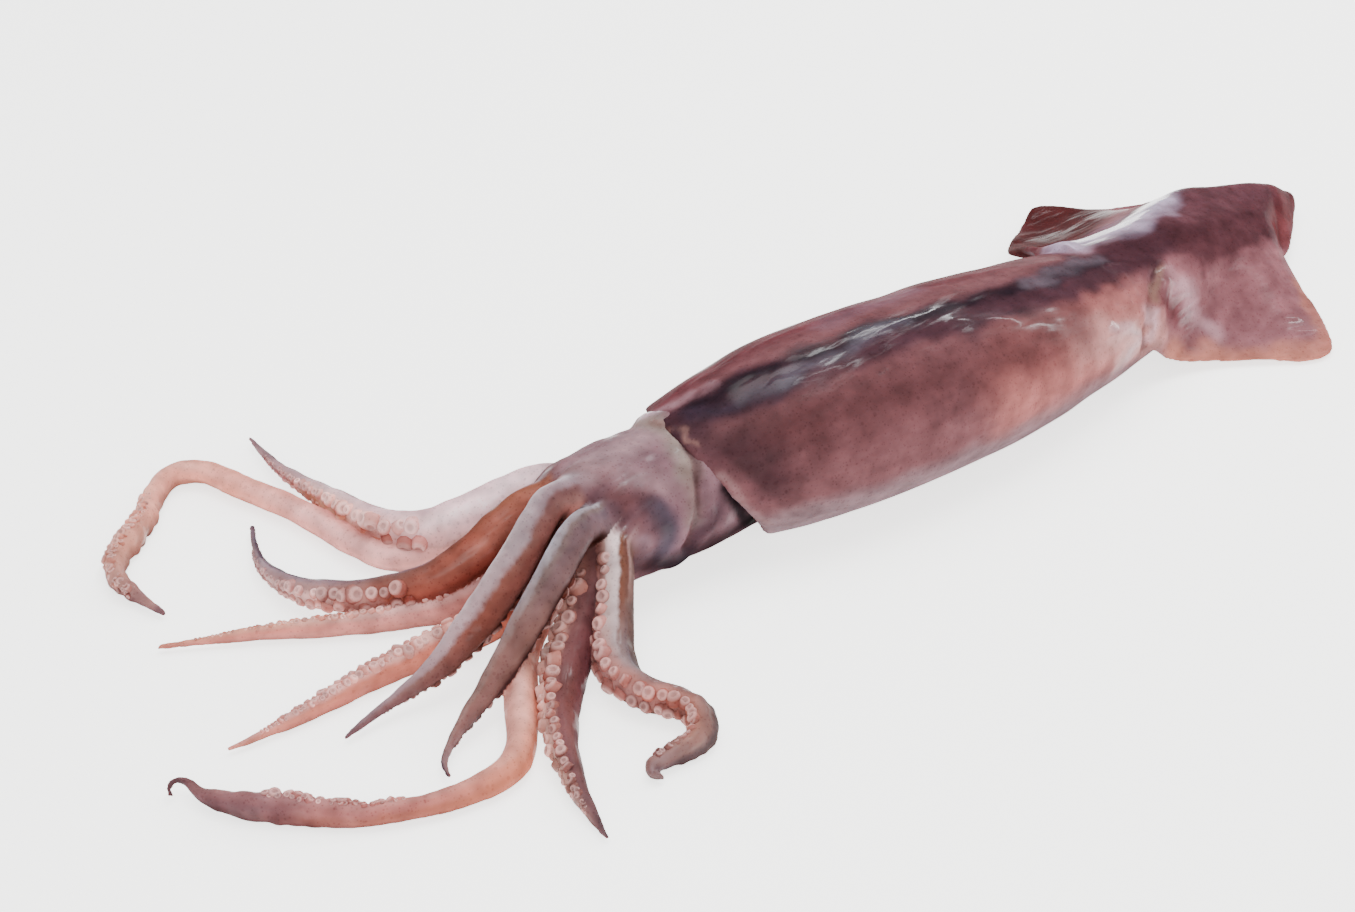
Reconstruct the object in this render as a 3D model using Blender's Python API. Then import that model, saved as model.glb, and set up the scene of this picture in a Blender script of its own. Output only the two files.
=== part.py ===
import math

import bmesh
import bpy
from mathutils import Vector

# A whole squid lying on its belly: a mantle tube with a tail fin, the head in front of it,
# eight arms and two longer tentacles spread over the table. It is one solid.
# +X runs from the arms to the tail, +Z is up and the belly rests on z = 0.

MM = 0.001

# Mantle: stations from the rim to the tail as x, y, half width and height in millimetres.
# The tube bends gently, is widest behind the rim and tapers to the tail.
MANTLE_STATIONS = (
    (-77, 16.0, 19.2, 31.6),
    (-48, 10.5, 24.2, 39.0),
    (-15, 6.5, 25.0, 40.0),
    (20, 6.3, 22.6, 36.6),
    (60, 9.8, 16.8, 29.0),
    (95, 15.0, 12.4, 21.2),
    (125, 21.8, 6.2, 12.0),
    (143, 25.8, 2.2, 4.6),
)
MANTLE_RINGS = 27
MANTLE_SIDES = 30
BELLY_SINK = 1.2
RIM_SET_BACK = 22.0
RIM_SET_BACK_REACH = 0.32
RIM_SET_BACK_FADE = 1.5
RIM_FLARE = 1.2

# Recess inside the rim: inset from the outside and depth of each ring, from its floor to the lip
RECESS_RINGS = ((6.5, 13.0), (3.6, 11.0), (3.0, 4.0), (2.2, 0.3), (0.75, -0.3))
RECESS_FLOOR = 0.8

# Neck and head: x, y, z of the middle, half width and half height in millimetres
HEAD_STATIONS = (
    (-54, 11.5, 15.8, 12.5, 11.8),
    (-64, 12.5, 15.6, 13.8, 13.0),
    (-74, 13.0, 15.6, 15.4, 13.8),
    (-84, 13.2, 15.6, 16.4, 14.4),
    (-94, 13.4, 15.4, 16.8, 14.6),
    (-103, 13.2, 15.6, 15.2, 13.6),
    (-110, 12.5, 16.0, 9.5, 9.0),
)
HEAD_RINGS = 13
HEAD_SIDES = 20
EYES = ((-87, 0.5, 12.5), (-88, 26.0, 12.5))
EYE_RADII = (8.0, 3.6, 7.0)
BALL_SEGMENTS = 12
BALL_RINGS = 8

# Fin: edge of each lobe from the front end of its root round to the tail tip, as x, y, z
NEAR_EDGE = (
    (52, 0, 22), (54, -4.5, 17), (58, -6.5, 11), (62, -9, 6.5), (67, -11.5, 3.6), (75, -16, 2.0),
    (85, -23, 1.5), (93, -28, 1.4), (98.5, -28.5, 1.4), (102, -23.5, 1.8), (108, -13.5, 2.8),
    (114, -5, 3.6), (119, 2.5, 4.0), (124.5, 8.5, 3.6), (138, 18.5, 3.0), (145.6, 24.8, 2.4),
)
FAR_EDGE = (
    (52, 20, 26), (55, 31, 22), (61, 42, 14), (70, 52, 7), (81, 61, 3), (90, 67.5, 1.8),
    (96, 69.5, 1.4), (100, 65.5, 1.6), (105, 58, 2.0), (112, 52.5, 2.6), (121, 48, 3.8),
    (130, 42, 5.0), (139, 34.5, 4.6), (145.6, 28.2, 2.4),
)
FIN_FRONT_X = 50.0
FIN_TAIL = (146.4, 26.5, 2.6)
FIN_ROWS = 21
FIN_COLUMNS = 7
FIN_THICK_ROOT = 4.6
FIN_THICK_EDGE = 1.5
FIN_ROOT_LOSS = 0.45
FIN_TAPER = 0.7
FIN_LIFT = 1.0
NEAR_DROOP = (1.0, 1.6)
FAR_DROOP = (1.25, 1.6)
FIN_FLAT_SHARE = 0.8

# Limbs: the way the suckers face, then the centre line from the head to the tip as
# x, y, z and radius in millimetres
ARMS = {
    "first": ((-0.7, -0.35, 0.6), (
        (-90, 17, 19, 4.2), (-99, 30, 17.5, 4.3), (-110, 36, 13, 5.0), (-122, 41, 9, 5.2),
        (-128, 53, 6.5, 4.5), (-129, 70, 5, 3.1), (-129.5, 86, 3.6, 1.8), (-128, 99, 2.6, 1.0),
        (-126, 108, 1.7, 0.5))),
    "second": ((-0.6, -0.6, 0.5), (
        (-93, 11, 22, 4.2), (-106, 20, 21.5, 4.3), (-116, 22, 18, 4.6), (-126, 22.5, 13, 4.7),
        (-136, 26, 8.5, 4.4), (-146, 34, 6, 4.0), (-152.5, 43.5, 4.6, 3.3), (-154.5, 53, 3.6, 2.3),
        (-153.5, 62, 2.8, 1.4), (-150, 70, 2.2, 0.9), (-146, 77, 1.7, 0.5))),
    "third": ((0.2, 0.5, 0.8), (
        (-91, 15, 12.5, 4.2), (-106, 18, 10.5, 4.3), (-116, 19.5, 8.5, 4.2), (-125, 19.5, 6, 3.8),
        (-133, 21.5, 4.6, 3.2), (-143, 26, 3.9, 2.7), (-152, 31, 3.3, 2.3), (-161, 37, 2.9, 2.0),
        (-169, 42, 2.5, 1.5), (-177, 46.5, 2.0, 1.0), (-186.5, 52, 1.4, 0.5))),
    "fourth": ((0.1, 0.4, 0.9), (
        (-91, 13.5, 11.5, 4.2), (-107, 13.5, 9.5, 4.3), (-119, 10.5, 7.5, 4.3), (-133, 10, 5.3, 3.9),
        (-146, 12, 4.1, 3.4), (-155, 12.3, 3.6, 3.0), (-163, 12.5, 3.2, 2.6), (-172, 12, 2.8, 2.2),
        (-180, 12, 2.3, 1.6), (-188, 12.3, 1.8, 1.0), (-194.5, 13, 1.4, 0.5))),
    "fifth": ((-0.2, 0.3, -0.9), (
        (-90, 12, 20, 3.6), (-101, 12.3, 24, 3.9), (-111, 12, 25.8, 4.0), (-118, 9, 24.5, 4.1),
        (-125, 5.5, 21.5, 4.3), (-132, 3, 18, 4.4), (-139, 1.7, 13.5, 4.1), (-145.5, 1.4, 9.5, 3.4),
        (-152, 1.2, 6.5, 2.5), (-159, 1.8, 4.3, 1.6), (-167, 1.6, 2.6, 1.0), (-174.5, 0.5, 1.5, 0.5))),
    "sixth": ((-0.2, 0.3, -0.9), (
        (-90, 9, 17, 3.6), (-102, 5, 21.6, 3.8), (-112.5, 0.8, 25.2, 3.9), (-119.5, -2.3, 23, 4.0),
        (-126, -4.7, 19, 3.9), (-133, -7, 14.5, 3.7), (-139.5, -9, 10.5, 3.2), (-146.5, -11.3, 7.2, 2.6),
        (-154, -13.7, 4.5, 1.8), (-160, -16.5, 3, 1.2), (-164, -19.8, 2.3, 0.8),
        (-165.5, -23.5, 1.6, 0.5))),
    "seventh": ((-0.6, 0.5, 0.6), (
        (-92, 9, 18, 4.2), (-104, 3, 16, 4.4), (-112, -2.5, 12, 4.6), (-121, -8, 7.5, 4.6),
        (-130.5, -16, 5.3, 4.5), (-137.5, -23.5, 4.5, 3.9), (-143, -31.5, 4, 3.3),
        (-146.5, -38.5, 3.3, 2.7), (-149.5, -45.5, 2.6, 2.0), (-151.5, -52.5, 1.9, 1.2),
        (-153, -58.5, 1.4, 0.5))),
    "eighth": ((-0.6, 0.4, 0.6), (
        (-91, 9, 15, 3.8), (-99, 4, 19.5, 3.6), (-104.5, -1.2, 18.5, 3.7), (-109, -6.5, 14.5, 3.9),
        (-114, -12, 10, 4.1), (-118.5, -17.5, 6.8, 4.3), (-120.8, -24, 5.2, 4.1),
        (-119.5, -31, 4.5, 3.8), (-116.5, -36.5, 4.1, 3.6), (-115.3, -41, 3.8, 3.3),
        (-117.5, -45.5, 3.5, 3.0), (-122, -47.7, 3.2, 2.6), (-127.5, -47.5, 2.9, 2.3),
        (-132, -47.3, 2.4, 1.7), (-134, -49, 2.0, 1.1), (-132.3, -51, 1.6, 0.6))),
}
TENTACLES = {
    "far": ((-0.6, 0.4, 0.7), (
        (-90, 18, 14, 3.2), (-99, 31, 12, 3.2), (-111, 36, 8, 3.1), (-122, 37.5, 5.2, 3.1),
        (-131, 43, 4.2, 3.1), (-134, 54, 3.8, 3.1), (-135, 66, 3.6, 3.1), (-137, 77, 3.5, 3.0),
        (-140, 88, 3.5, 3.0), (-143, 99, 3.5, 2.9), (-149, 104, 3.4, 2.7), (-156, 101, 3.3, 2.6),
        (-164, 93, 3.2, 2.6), (-171, 88, 3.3, 2.9), (-177, 84, 3.2, 2.7), (-181, 76, 3.0, 2.3),
        (-180.5, 69, 2.4, 1.6), (-179, 61, 1.6, 0.6))),
    "near": ((-0.2, 0.5, 0.8), (
        (-92, 12, 13, 3.2), (-107, 8.5, 11.5, 3.2), (-118, 5, 9.5, 3.4), (-131, -2.5, 6, 3.7),
        (-139, -12, 4.2, 3.7), (-144, -19, 3.9, 3.5), (-149, -25.5, 3.8, 3.2), (-154.5, -29.8, 3.6, 3.1),
        (-161, -31, 3.4, 2.8), (-168, -30.3, 3.1, 2.5), (-176, -28, 3, 2.3), (-184.5, -24, 3, 2.3),
        (-190, -19.5, 3.1, 2.6), (-196, -13, 3.4, 3.0), (-201, -7.5, 3.4, 2.9), (-205, -2, 3, 2.3),
        (-207, 3, 2.6, 1.5), (-207.3, 7.5, 3, 1.0), (-208.7, 9.8, 3, 0.7), (-210.8, 9.2, 2.5, 0.6),
        (-211.6, 7.2, 1.8, 0.5))),
}
LIMB_SIDES = 8
LIMB_RING_STEP = 5.0
LIMB_KEEL = 1.12
LIMB_ORAL = 0.86
TABLE_CLEARANCE = 0.3
TABLE_CLEARANCE_STEP = 0.03
CROWN = (-100, 14, 14)
CROWN_RADII = (12, 12.5, 11.5)

# Suckers stand in two rows along the side of each limb that faces the mouth
SUCKER_PITCH = 3.0
SUCKER_RADIUS = 0.42
SUCKER_ROW_ANGLE = 36.0
SUCKER_SIDES = 6
SUCKER_TAPER = 0.7
SUCKER_DEPTH = 1.2
SUCKER_STAND = 0.1
ARM_SUCKER_SPAN = (0.26, 0.80)
CLUB_SUCKER_SPAN = {"far": (0.62, 0.93), "near": (0.64, 0.80)}

# Step along a curve, as a share of one stretch, over which its heading is taken, and the
# number of halvings that find where the mantle crosses a plane
HEADING_STEP = 0.08
HALVINGS = 20

SKIN_COLOUR = (0.30, 0.105, 0.10, 1.0)
SKIN_ROUGHNESS = 0.3
SHARP_ANGLE = 45


def spline_point(points, place):
    """Point of a Catmull-Rom curve through points; place runs from 0 to len(points) - 1."""
    last = len(points) - 1
    index = min(int(place), last - 1)
    share = place - index
    before = points[max(index - 1, 0)]
    start = points[index]
    end = points[index + 1]
    after = points[min(index + 2, last)]
    result = []
    for a, b, c, d in zip(before, start, end, after):
        slope = (c - a) / 2
        next_slope = (d - b) / 2
        result.append(
            (2 * share ** 3 - 3 * share ** 2 + 1) * b
            + (share ** 3 - 2 * share ** 2 + share) * slope
            + (3 * share ** 2 - 2 * share ** 3) * c
            + (share ** 3 - share ** 2) * next_slope)
    return result


def curve_heading(points, place, axes=3):
    """Unit direction of the curve at a place, taken over its first two or three values."""
    ahead = spline_point(points, min(place + HEADING_STEP, len(points) - 1))
    behind = spline_point(points, max(place - HEADING_STEP, 0))
    return (Vector(ahead[:axes]) - Vector(behind[:axes])).to_3d().normalized()


def even_places(points, count, fine=24):
    """Places along the curve that cut it into stretches of equal length."""
    places = [i / fine for i in range(fine * (len(points) - 1) + 1)]
    spots = [Vector(spline_point(points, place)[:3]) for place in places]
    reach = [0.0]
    for spot, following in zip(spots, spots[1:]):
        reach.append(reach[-1] + (following - spot).length)
    chosen = []
    at = 0
    for i in range(count):
        goal = reach[-1] * i / (count - 1)
        while at < len(reach) - 2 and reach[at + 1] < goal:
            at += 1
        share = (goal - reach[at]) / (reach[at + 1] - reach[at])
        chosen.append(places[at] + share * (places[at + 1] - places[at]))
    return chosen, reach[-1]


def loft(name, rings):
    """Closed mesh object through equal rings of points in millimetres, with a fan on each end."""
    mesh_builder = bmesh.new()
    loops = [[mesh_builder.verts.new(point * MM) for point in ring] for ring in rings]
    for loop, following in zip(loops, loops[1:]):
        for k in range(len(loop)):
            nxt = (k + 1) % len(loop)
            mesh_builder.faces.new((loop[k], loop[nxt], following[nxt], following[k]))
    for loop in (loops[0], loops[-1]):
        middle = sum((vert.co for vert in loop), Vector()) / len(loop)
        hub = mesh_builder.verts.new(middle)
        for k in range(len(loop)):
            mesh_builder.faces.new((loop[k], loop[(k + 1) % len(loop)], hub))
    bmesh.ops.recalc_face_normals(mesh_builder, faces=mesh_builder.faces)
    return finish_object(name, mesh_builder)


def finish_object(name, mesh_builder):
    mesh = bpy.data.meshes.new(name)
    mesh_builder.to_mesh(mesh)
    mesh_builder.free()
    made = bpy.data.objects.new(name, mesh)
    bpy.context.collection.objects.link(made)
    return made


def mantle_ring(share, inset=0.0, deeper=0.0):
    """Ring at a share of the mantle's length; inset shrinks it and deeper pushes it tailward."""
    place = share * (len(MANTLE_STATIONS) - 1)
    x, y, half_width, height = spline_point(MANTLE_STATIONS, place)
    heading = curve_heading(MANTLE_STATIONS, place, 2)
    across = Vector((-heading.y, heading.x, 0))
    near_rim = max(0.0, 1 - share / RIM_SET_BACK_REACH) ** RIM_SET_BACK_FADE
    ring = []
    for k in range(MANTLE_SIDES):
        angle = math.tau * k / MANTLE_SIDES
        side = (half_width + RIM_FLARE * near_rim - inset) * math.cos(angle)
        rise = (height / 2 - inset) * math.sin(angle)
        low = 0.5 - 0.5 * math.sin(angle)
        along = deeper + RIM_SET_BACK * low * near_rim
        up = max(height / 2 + rise - BELLY_SINK, inset * RECESS_FLOOR)
        ring.append(Vector((x, y, up)) + heading * along + across * side)
    return ring


def make_mantle():
    inner = [mantle_ring(0, inset, depth) for inset, depth in RECESS_RINGS]
    outer = [mantle_ring(i / (MANTLE_RINGS - 1)) for i in range(MANTLE_RINGS)]
    return loft("mantle", inner + outer)


def make_head():
    rings = []
    for i in range(HEAD_RINGS):
        place = (len(HEAD_STATIONS) - 1) * i / (HEAD_RINGS - 1)
        x, y, z, half_width, half_height = spline_point(HEAD_STATIONS, place)
        heading = curve_heading(HEAD_STATIONS, place, 2)
        across = Vector((-heading.y, heading.x, 0))
        ring = []
        for k in range(HEAD_SIDES):
            angle = math.tau * k / HEAD_SIDES
            point = Vector((x, y, z)) + across * half_width * math.cos(angle)
            point.z = max(z + half_height * math.sin(angle), TABLE_CLEARANCE)
            ring.append(point)
        rings.append(ring)
    return loft("head", rings)


def make_ball(name, centre, radii):
    mesh_builder = bmesh.new()
    bmesh.ops.create_uvsphere(
        mesh_builder, u_segments=BALL_SEGMENTS, v_segments=BALL_RINGS, radius=1.0)
    bmesh.ops.scale(mesh_builder, vec=Vector(radii) * MM, verts=mesh_builder.verts)
    bmesh.ops.translate(mesh_builder, vec=Vector(centre) * MM, verts=mesh_builder.verts)
    return finish_object(name, mesh_builder)


def mantle_beside(x):
    """Middle y and height of the mantle where it crosses x."""
    low = 0.0
    high = len(MANTLE_STATIONS) - 1.0
    for _ in range(HALVINGS):
        half = (low + high) / 2
        if spline_point(MANTLE_STATIONS, half)[0] < x:
            low = half
        else:
            high = half
    _, y, _, height = spline_point(MANTLE_STATIONS, low)
    return y, height


def fin_row(share, near, far):
    """Points and thickness of one row across the fin, from the far edge over the back."""
    x = FIN_FRONT_X + (FIN_TAIL[0] - FIN_FRONT_X) * share
    y, height = mantle_beside(x)
    root = FIN_THICK_ROOT * (1 - FIN_ROOT_LOSS * share)
    middle = Vector((x, y, max(height - BELLY_SINK + FIN_LIFT - root / 2, FIN_TAIL[2])))
    row = []
    for j in range(-FIN_COLUMNS, FIN_COLUMNS + 1):
        edge, droop = (near, NEAR_DROOP) if j > 0 else (far, FAR_DROOP)
        out = abs(j) / FIN_COLUMNS
        power = droop[0] + (droop[1] - droop[0]) * share
        fall = 0.5 + 0.5 * math.cos(math.pi * out ** power)
        point = middle.lerp(edge, out)
        point.z = edge.z + (middle.z - edge.z) * fall
        row.append((point, root + (FIN_THICK_EDGE - root) * out ** FIN_TAPER))
    return row


def make_fin():
    near_places, _ = even_places(NEAR_EDGE, FIN_ROWS)
    far_places, _ = even_places(FAR_EDGE, FIN_ROWS)
    rows = []
    for i in range(FIN_ROWS):
        near = Vector(spline_point(NEAR_EDGE, near_places[i]))
        far = Vector(spline_point(FAR_EDGE, far_places[i]))
        rows.append(fin_row(i / (FIN_ROWS - 1), near, far))
    width = 2 * FIN_COLUMNS + 1
    upper = []
    lower = []
    for i in range(FIN_ROWS):
        for j in range(width):
            point, thick = rows[i][j]
            down_row = rows[min(i + 1, FIN_ROWS - 1)][j][0] - rows[max(i - 1, 0)][j][0]
            along_row = rows[i][min(j + 1, width - 1)][0] - rows[i][max(j - 1, 0)][0]
            normal = along_row.cross(down_row).normalized()
            if normal.z < 0:
                normal.negate()
            if i / (FIN_ROWS - 1) > FIN_FLAT_SHARE:
                normal = Vector((0, 0, 1))
            upper.append(point + normal * thick / 2)
            under = point - normal * thick / 2
            under.z = max(under.z, TABLE_CLEARANCE)
            lower.append(under)
    mesh_builder = bmesh.new()
    top = [mesh_builder.verts.new(point * MM) for point in upper]
    base = [mesh_builder.verts.new(point * MM) for point in lower]
    for i in range(FIN_ROWS - 1):
        for j in range(width - 1):
            a = i * width + j
            b = a + width
            mesh_builder.faces.new((top[a], top[a + 1], top[b + 1], top[b]))
            mesh_builder.faces.new((base[b], base[b + 1], base[a + 1], base[a]))
    border = list(range(width))
    border += [i * width + width - 1 for i in range(1, FIN_ROWS)]
    border += [(FIN_ROWS - 1) * width + j for j in range(width - 2, -1, -1)]
    border += [i * width for i in range(FIN_ROWS - 2, 0, -1)]
    for a, b in zip(border, border[1:] + border[:1]):
        mesh_builder.faces.new((top[b], top[a], base[a], base[b]))
    bmesh.ops.recalc_face_normals(mesh_builder, faces=mesh_builder.faces)
    return finish_object("fin", mesh_builder)


def limb_frame(route, place, faces):
    """Centre, radius, side direction and mouth-side direction of a limb at a place on its route."""
    x, y, z, radius = spline_point(route, place)
    along = curve_heading(route, place)
    oral = (faces - along * faces.dot(along)).normalized()
    return Vector((x, y, z)), radius, along.cross(oral), oral


def limb_section(angle):
    """Radius factor round a limb: flatter on the mouth side, a low keel on the outer side."""
    lean = math.sin(angle)
    return 1 + (LIMB_ORAL - 1) * lean if lean > 0 else 1 - (LIMB_KEEL - 1) * lean


def make_limb(name, faces, route, clearance):
    count = 2 + int(even_places(route, 2)[1] / LIMB_RING_STEP)
    places, _ = even_places(route, count)
    rings = []
    for place in places:
        centre, radius, side, oral = limb_frame(route, place, faces)
        ring = []
        for k in range(LIMB_SIDES):
            angle = math.tau * (k + 0.5) / LIMB_SIDES
            reach = radius * limb_section(angle)
            point = centre + side * reach * math.cos(angle) + oral * reach * math.sin(angle)
            point.z = max(point.z, clearance)
            ring.append(point)
        rings.append(ring)
    return loft(name, rings)


def make_sucker(name, seat, out, radius):
    """Short six-sided knob that stands on the limb and reaches a little way into it."""
    mesh_builder = bmesh.new()
    bmesh.ops.create_cone(
        mesh_builder, cap_ends=True, segments=SUCKER_SIDES, radius1=radius * MM,
        radius2=radius * SUCKER_TAPER * MM, depth=radius * SUCKER_DEPTH * MM)
    turn = Vector((0, 0, 1)).rotation_difference(out).to_matrix().to_4x4()
    bmesh.ops.transform(mesh_builder, matrix=turn, verts=mesh_builder.verts)
    foot = seat + out * radius * SUCKER_STAND
    bmesh.ops.translate(mesh_builder, vec=foot * MM, verts=mesh_builder.verts)
    return finish_object(name, mesh_builder)


def make_suckers(name, faces, route, span):
    made = []
    last = len(route) - 1
    place = last * span[0]
    row = 1
    while place < last * span[1]:
        centre, radius, side, oral = limb_frame(route, place, faces)
        angle = math.radians(90 + SUCKER_ROW_ANGLE * row)
        out = side * math.cos(angle) + oral * math.sin(angle)
        seat = centre + out * radius * limb_section(angle)
        size = radius * SUCKER_RADIUS
        if seat.z - size > TABLE_CLEARANCE:
            made.append(make_sucker(name, seat, out, size))
        ahead = Vector(spline_point(route, min(place + HEADING_STEP, last))[:3])
        place += HEADING_STEP * 0.5 * SUCKER_PITCH * radius / (ahead - centre).length
        row = -row
    return made


def make_squid():
    parts = [make_head(), make_fin(), make_ball("crown", CROWN, CROWN_RADII)]
    for centre in EYES:
        parts.append(make_ball("eye", centre, EYE_RADII))
    clearance = TABLE_CLEARANCE
    for limbs in (ARMS, TENTACLES):
        for name, (faces, route) in limbs.items():
            facing = Vector(faces)
            clearance += TABLE_CLEARANCE_STEP
            parts.append(make_limb(name, facing, route, clearance))
            span = CLUB_SUCKER_SPAN[name] if limbs is TENTACLES else ARM_SUCKER_SPAN
            parts += make_suckers(name + "_sucker", facing, route, span)
    squid = make_mantle()
    squid.name = "squid"
    join_all(squid, parts)
    return squid


def join_all(base, parts):
    group = bpy.data.collections.new("joined")
    bpy.context.scene.collection.children.link(group)
    for part in parts:
        bpy.context.collection.objects.unlink(part)
        group.objects.link(part)
    union = base.modifiers.new("union", "BOOLEAN")
    union.operation = "UNION"
    union.operand_type = "COLLECTION"
    union.collection = group
    union.solver = "EXACT"
    bpy.context.view_layer.objects.active = base
    base.select_set(True)
    bpy.ops.object.modifier_apply(modifier=union.name)
    for part in parts:
        bpy.data.objects.remove(part)
    bpy.data.collections.remove(group)


def skin_material():
    material = bpy.data.materials.new("squid_skin")
    material.use_nodes = True
    shader = material.node_tree.nodes["Principled BSDF"]
    shader.inputs["Base Color"].default_value = SKIN_COLOUR
    shader.inputs["Roughness"].default_value = SKIN_ROUGHNESS
    shader.inputs["Metallic"].default_value = 0.0
    return material


def main():
    for old in list(bpy.data.objects):
        bpy.data.objects.remove(old)
    squid = make_squid()
    squid.data.materials.clear()
    squid.data.materials.append(skin_material())
    squid.data.shade_smooth()
    squid.data.set_sharp_from_angle(angle=math.radians(SHARP_ANGLE))


main()
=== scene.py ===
import math
import bmesh
import bpy
import numpy as np
from mathutils import Matrix, Vector, noise


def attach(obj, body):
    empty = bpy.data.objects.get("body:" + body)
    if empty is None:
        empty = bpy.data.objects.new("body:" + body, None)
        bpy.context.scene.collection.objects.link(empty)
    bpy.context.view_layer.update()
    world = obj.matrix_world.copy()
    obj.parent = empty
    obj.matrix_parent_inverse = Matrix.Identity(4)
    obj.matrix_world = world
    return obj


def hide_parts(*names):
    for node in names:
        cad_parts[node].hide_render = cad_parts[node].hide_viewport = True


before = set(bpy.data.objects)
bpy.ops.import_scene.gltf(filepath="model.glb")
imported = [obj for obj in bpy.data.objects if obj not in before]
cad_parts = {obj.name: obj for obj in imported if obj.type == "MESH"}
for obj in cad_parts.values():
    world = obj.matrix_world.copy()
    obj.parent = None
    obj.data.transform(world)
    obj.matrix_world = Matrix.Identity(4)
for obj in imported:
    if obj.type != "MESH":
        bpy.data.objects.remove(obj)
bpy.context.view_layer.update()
print("frame loaded")

# All places and sizes below are in millimetres, in the frame's own axes
mm = 0.001
darkest = 0.003  # no painted colour goes below this, in linear light


def linear(code):
    # sRGB hex to linear light
    parts = [int(code[i:i + 2], 16) / 255 for i in (1, 3, 5)]
    return np.array([p / 12.92 if p <= 0.04045 else ((p + 0.055) / 1.055) ** 2.4 for p in parts])


def ease(low, high, value):
    # 0 below low, 1 above high, smooth between
    share = np.clip((value - low) / (high - low), 0, 1)
    return share * share * (3 - 2 * share)


def unit(rows):
    return rows / np.linalg.norm(rows, axis=-1, keepdims=True)


def curve(points, places):
    # smooth curve through the rows of points; places run from 0 to their number less one
    points = np.asarray(points, float)
    last = len(points) - 1
    places = np.clip(np.asarray(places, float), 0, last)
    index = np.minimum(places.astype(int), last - 1)
    share = (places - index)[:, None]
    start, end = points[index], points[index + 1]
    slopeIn = (end - points[np.maximum(index - 1, 0)]) / 2
    slopeOut = (points[np.minimum(index + 2, last)] - start) / 2
    return ((2 * share ** 3 - 3 * share ** 2 + 1) * start + (share ** 3 - 2 * share ** 2 + share) * slopeIn
            + (3 * share ** 2 - 2 * share ** 3) * end + (share ** 3 - share ** 2) * slopeOut)


def evenly(points, count):
    # this many rows of the smooth curve, from its first point to its last
    return curve(points, np.linspace(0, len(points) - 1, count))


def walk(points, step):
    # rows of the smooth curve, one every step along it
    perStretch = 24
    fine = evenly(points, perStretch * (len(points) - 1) + 1)
    reach = np.concatenate([[0], np.cumsum(np.linalg.norm(np.diff(fine[:, :3], axis=0), axis=1))])
    count = max(3, int(round(reach[-1] / step)) + 1)
    goals = np.linspace(0, reach[-1], count)
    return np.stack([np.interp(goals, reach, fine[:, k]) for k in range(fine.shape[1])], axis=1)


def toObject(name, bm):
    mesh = bpy.data.meshes.new(name)
    bm.to_mesh(mesh)
    bm.free()
    made = bpy.data.objects.new(name, mesh)
    bpy.context.scene.collection.objects.link(made)
    return made


def bentGrid(name, rings, closed, weights=None):
    # a flat grid bent so that its rows follow the rings, closed into a tube or left as a sheet
    rows, across = rings.shape[:2]
    columns = across if closed else across - 1
    bm = bmesh.new()
    bmesh.ops.create_grid(bm, x_segments=rows - 1, y_segments=columns, size=0.5)
    thickness = bm.verts.layers.deform.verify()
    for vert in bm.verts:
        i, j = round((vert.co.x + 0.5) * (rows - 1)), round((vert.co.y + 0.5) * columns)
        vert.co = Vector(rings[i, j % across]) * mm
        if weights is not None:
            vert[thickness][0] = float(weights[j])
    if closed:
        bmesh.ops.remove_doubles(bm, verts=bm.verts, dist=1e-6)
        bmesh.ops.holes_fill(bm, edges=[e for e in bm.edges if e.is_boundary], sides=0)
    bmesh.ops.recalc_face_normals(bm, faces=bm.faces)
    return toObject(name, bm)


def applyAll(body):
    bpy.context.view_layer.objects.active = body
    for modifier in list(body.modifiers):
        bpy.ops.object.modifier_apply(modifier=modifier.name)


def fuse(name, parts, voxel, relaxing):
    # one closed skin over parts that run into each other
    bpy.ops.object.select_all(action="DESELECT")
    for part in parts:
        part.select_set(True)
    bpy.context.view_layer.objects.active = parts[0]
    bpy.ops.object.join()
    body = parts[0]
    body.name = name
    body.data.name = name
    remesh = body.modifiers.new("skin", "REMESH")
    remesh.mode = "VOXEL"
    remesh.voxel_size = voxel * mm
    relax = body.modifiers.new("relax", "SMOOTH")
    relax.factor = 0.5
    relax.iterations = relaxing
    applyAll(body)
    body.data.shade_smooth()
    return body


def readRows(body, field):
    flat = np.empty(len(body.data.vertices) * 3)
    body.data.vertices.foreach_get(field, flat)
    return flat.reshape(-1, 3)


def readPoints(body):
    return readRows(body, "co") / mm


def writePoints(body, points):
    body.data.vertices.foreach_set("co", (points * mm).ravel())
    body.data.update()


def writeTint(body, tint):
    rows = np.concatenate([np.clip(tint, darkest, 1), np.ones((len(tint), 1))], axis=1)
    body.data.attributes.new("tint", "FLOAT_COLOR", "POINT").data.foreach_set("color", rows.ravel())


def writeWet(body, amount):
    rows = np.ascontiguousarray(np.clip(amount, 0, 1), dtype=float)
    body.data.attributes.new("wet", "FLOAT", "POINT").data.foreach_set("value", rows)


def neighbourMean(body):
    # a function that gives every point the mean of the points joined to it
    flat = np.empty(len(body.data.edges) * 2, int)
    body.data.edges.foreach_get("vertices", flat)
    ends = flat.reshape(-1, 2)
    here, there = np.concatenate([ends[:, 0], ends[:, 1]]), np.concatenate([ends[:, 1], ends[:, 0]])
    total = len(body.data.vertices)
    count = np.maximum(np.bincount(here, minlength=total), 1)[:, None]

    def mean(points):
        return np.stack([np.bincount(here, points[there, k], total) for k in range(3)], axis=1) / count
    return mean


def hollowDepth(body, points, rounds):
    # how far each point lies below a smoothed copy of the skin
    mean = neighbourMean(body)
    smooth = points
    for _ in range(rounds):
        smooth = mean(smooth)
    return ((smooth - points) * readRows(body, "normal")).sum(1)


def melt(body, points, share, rounds):
    # smooth the skin where the share is above 0; each round pulls a point this far to its neighbours
    pull = 0.6
    mean = neighbourMean(body)
    for _ in range(rounds):
        points += (mean(points) - points) * share[:, None] * pull
    writePoints(body, points)


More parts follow.
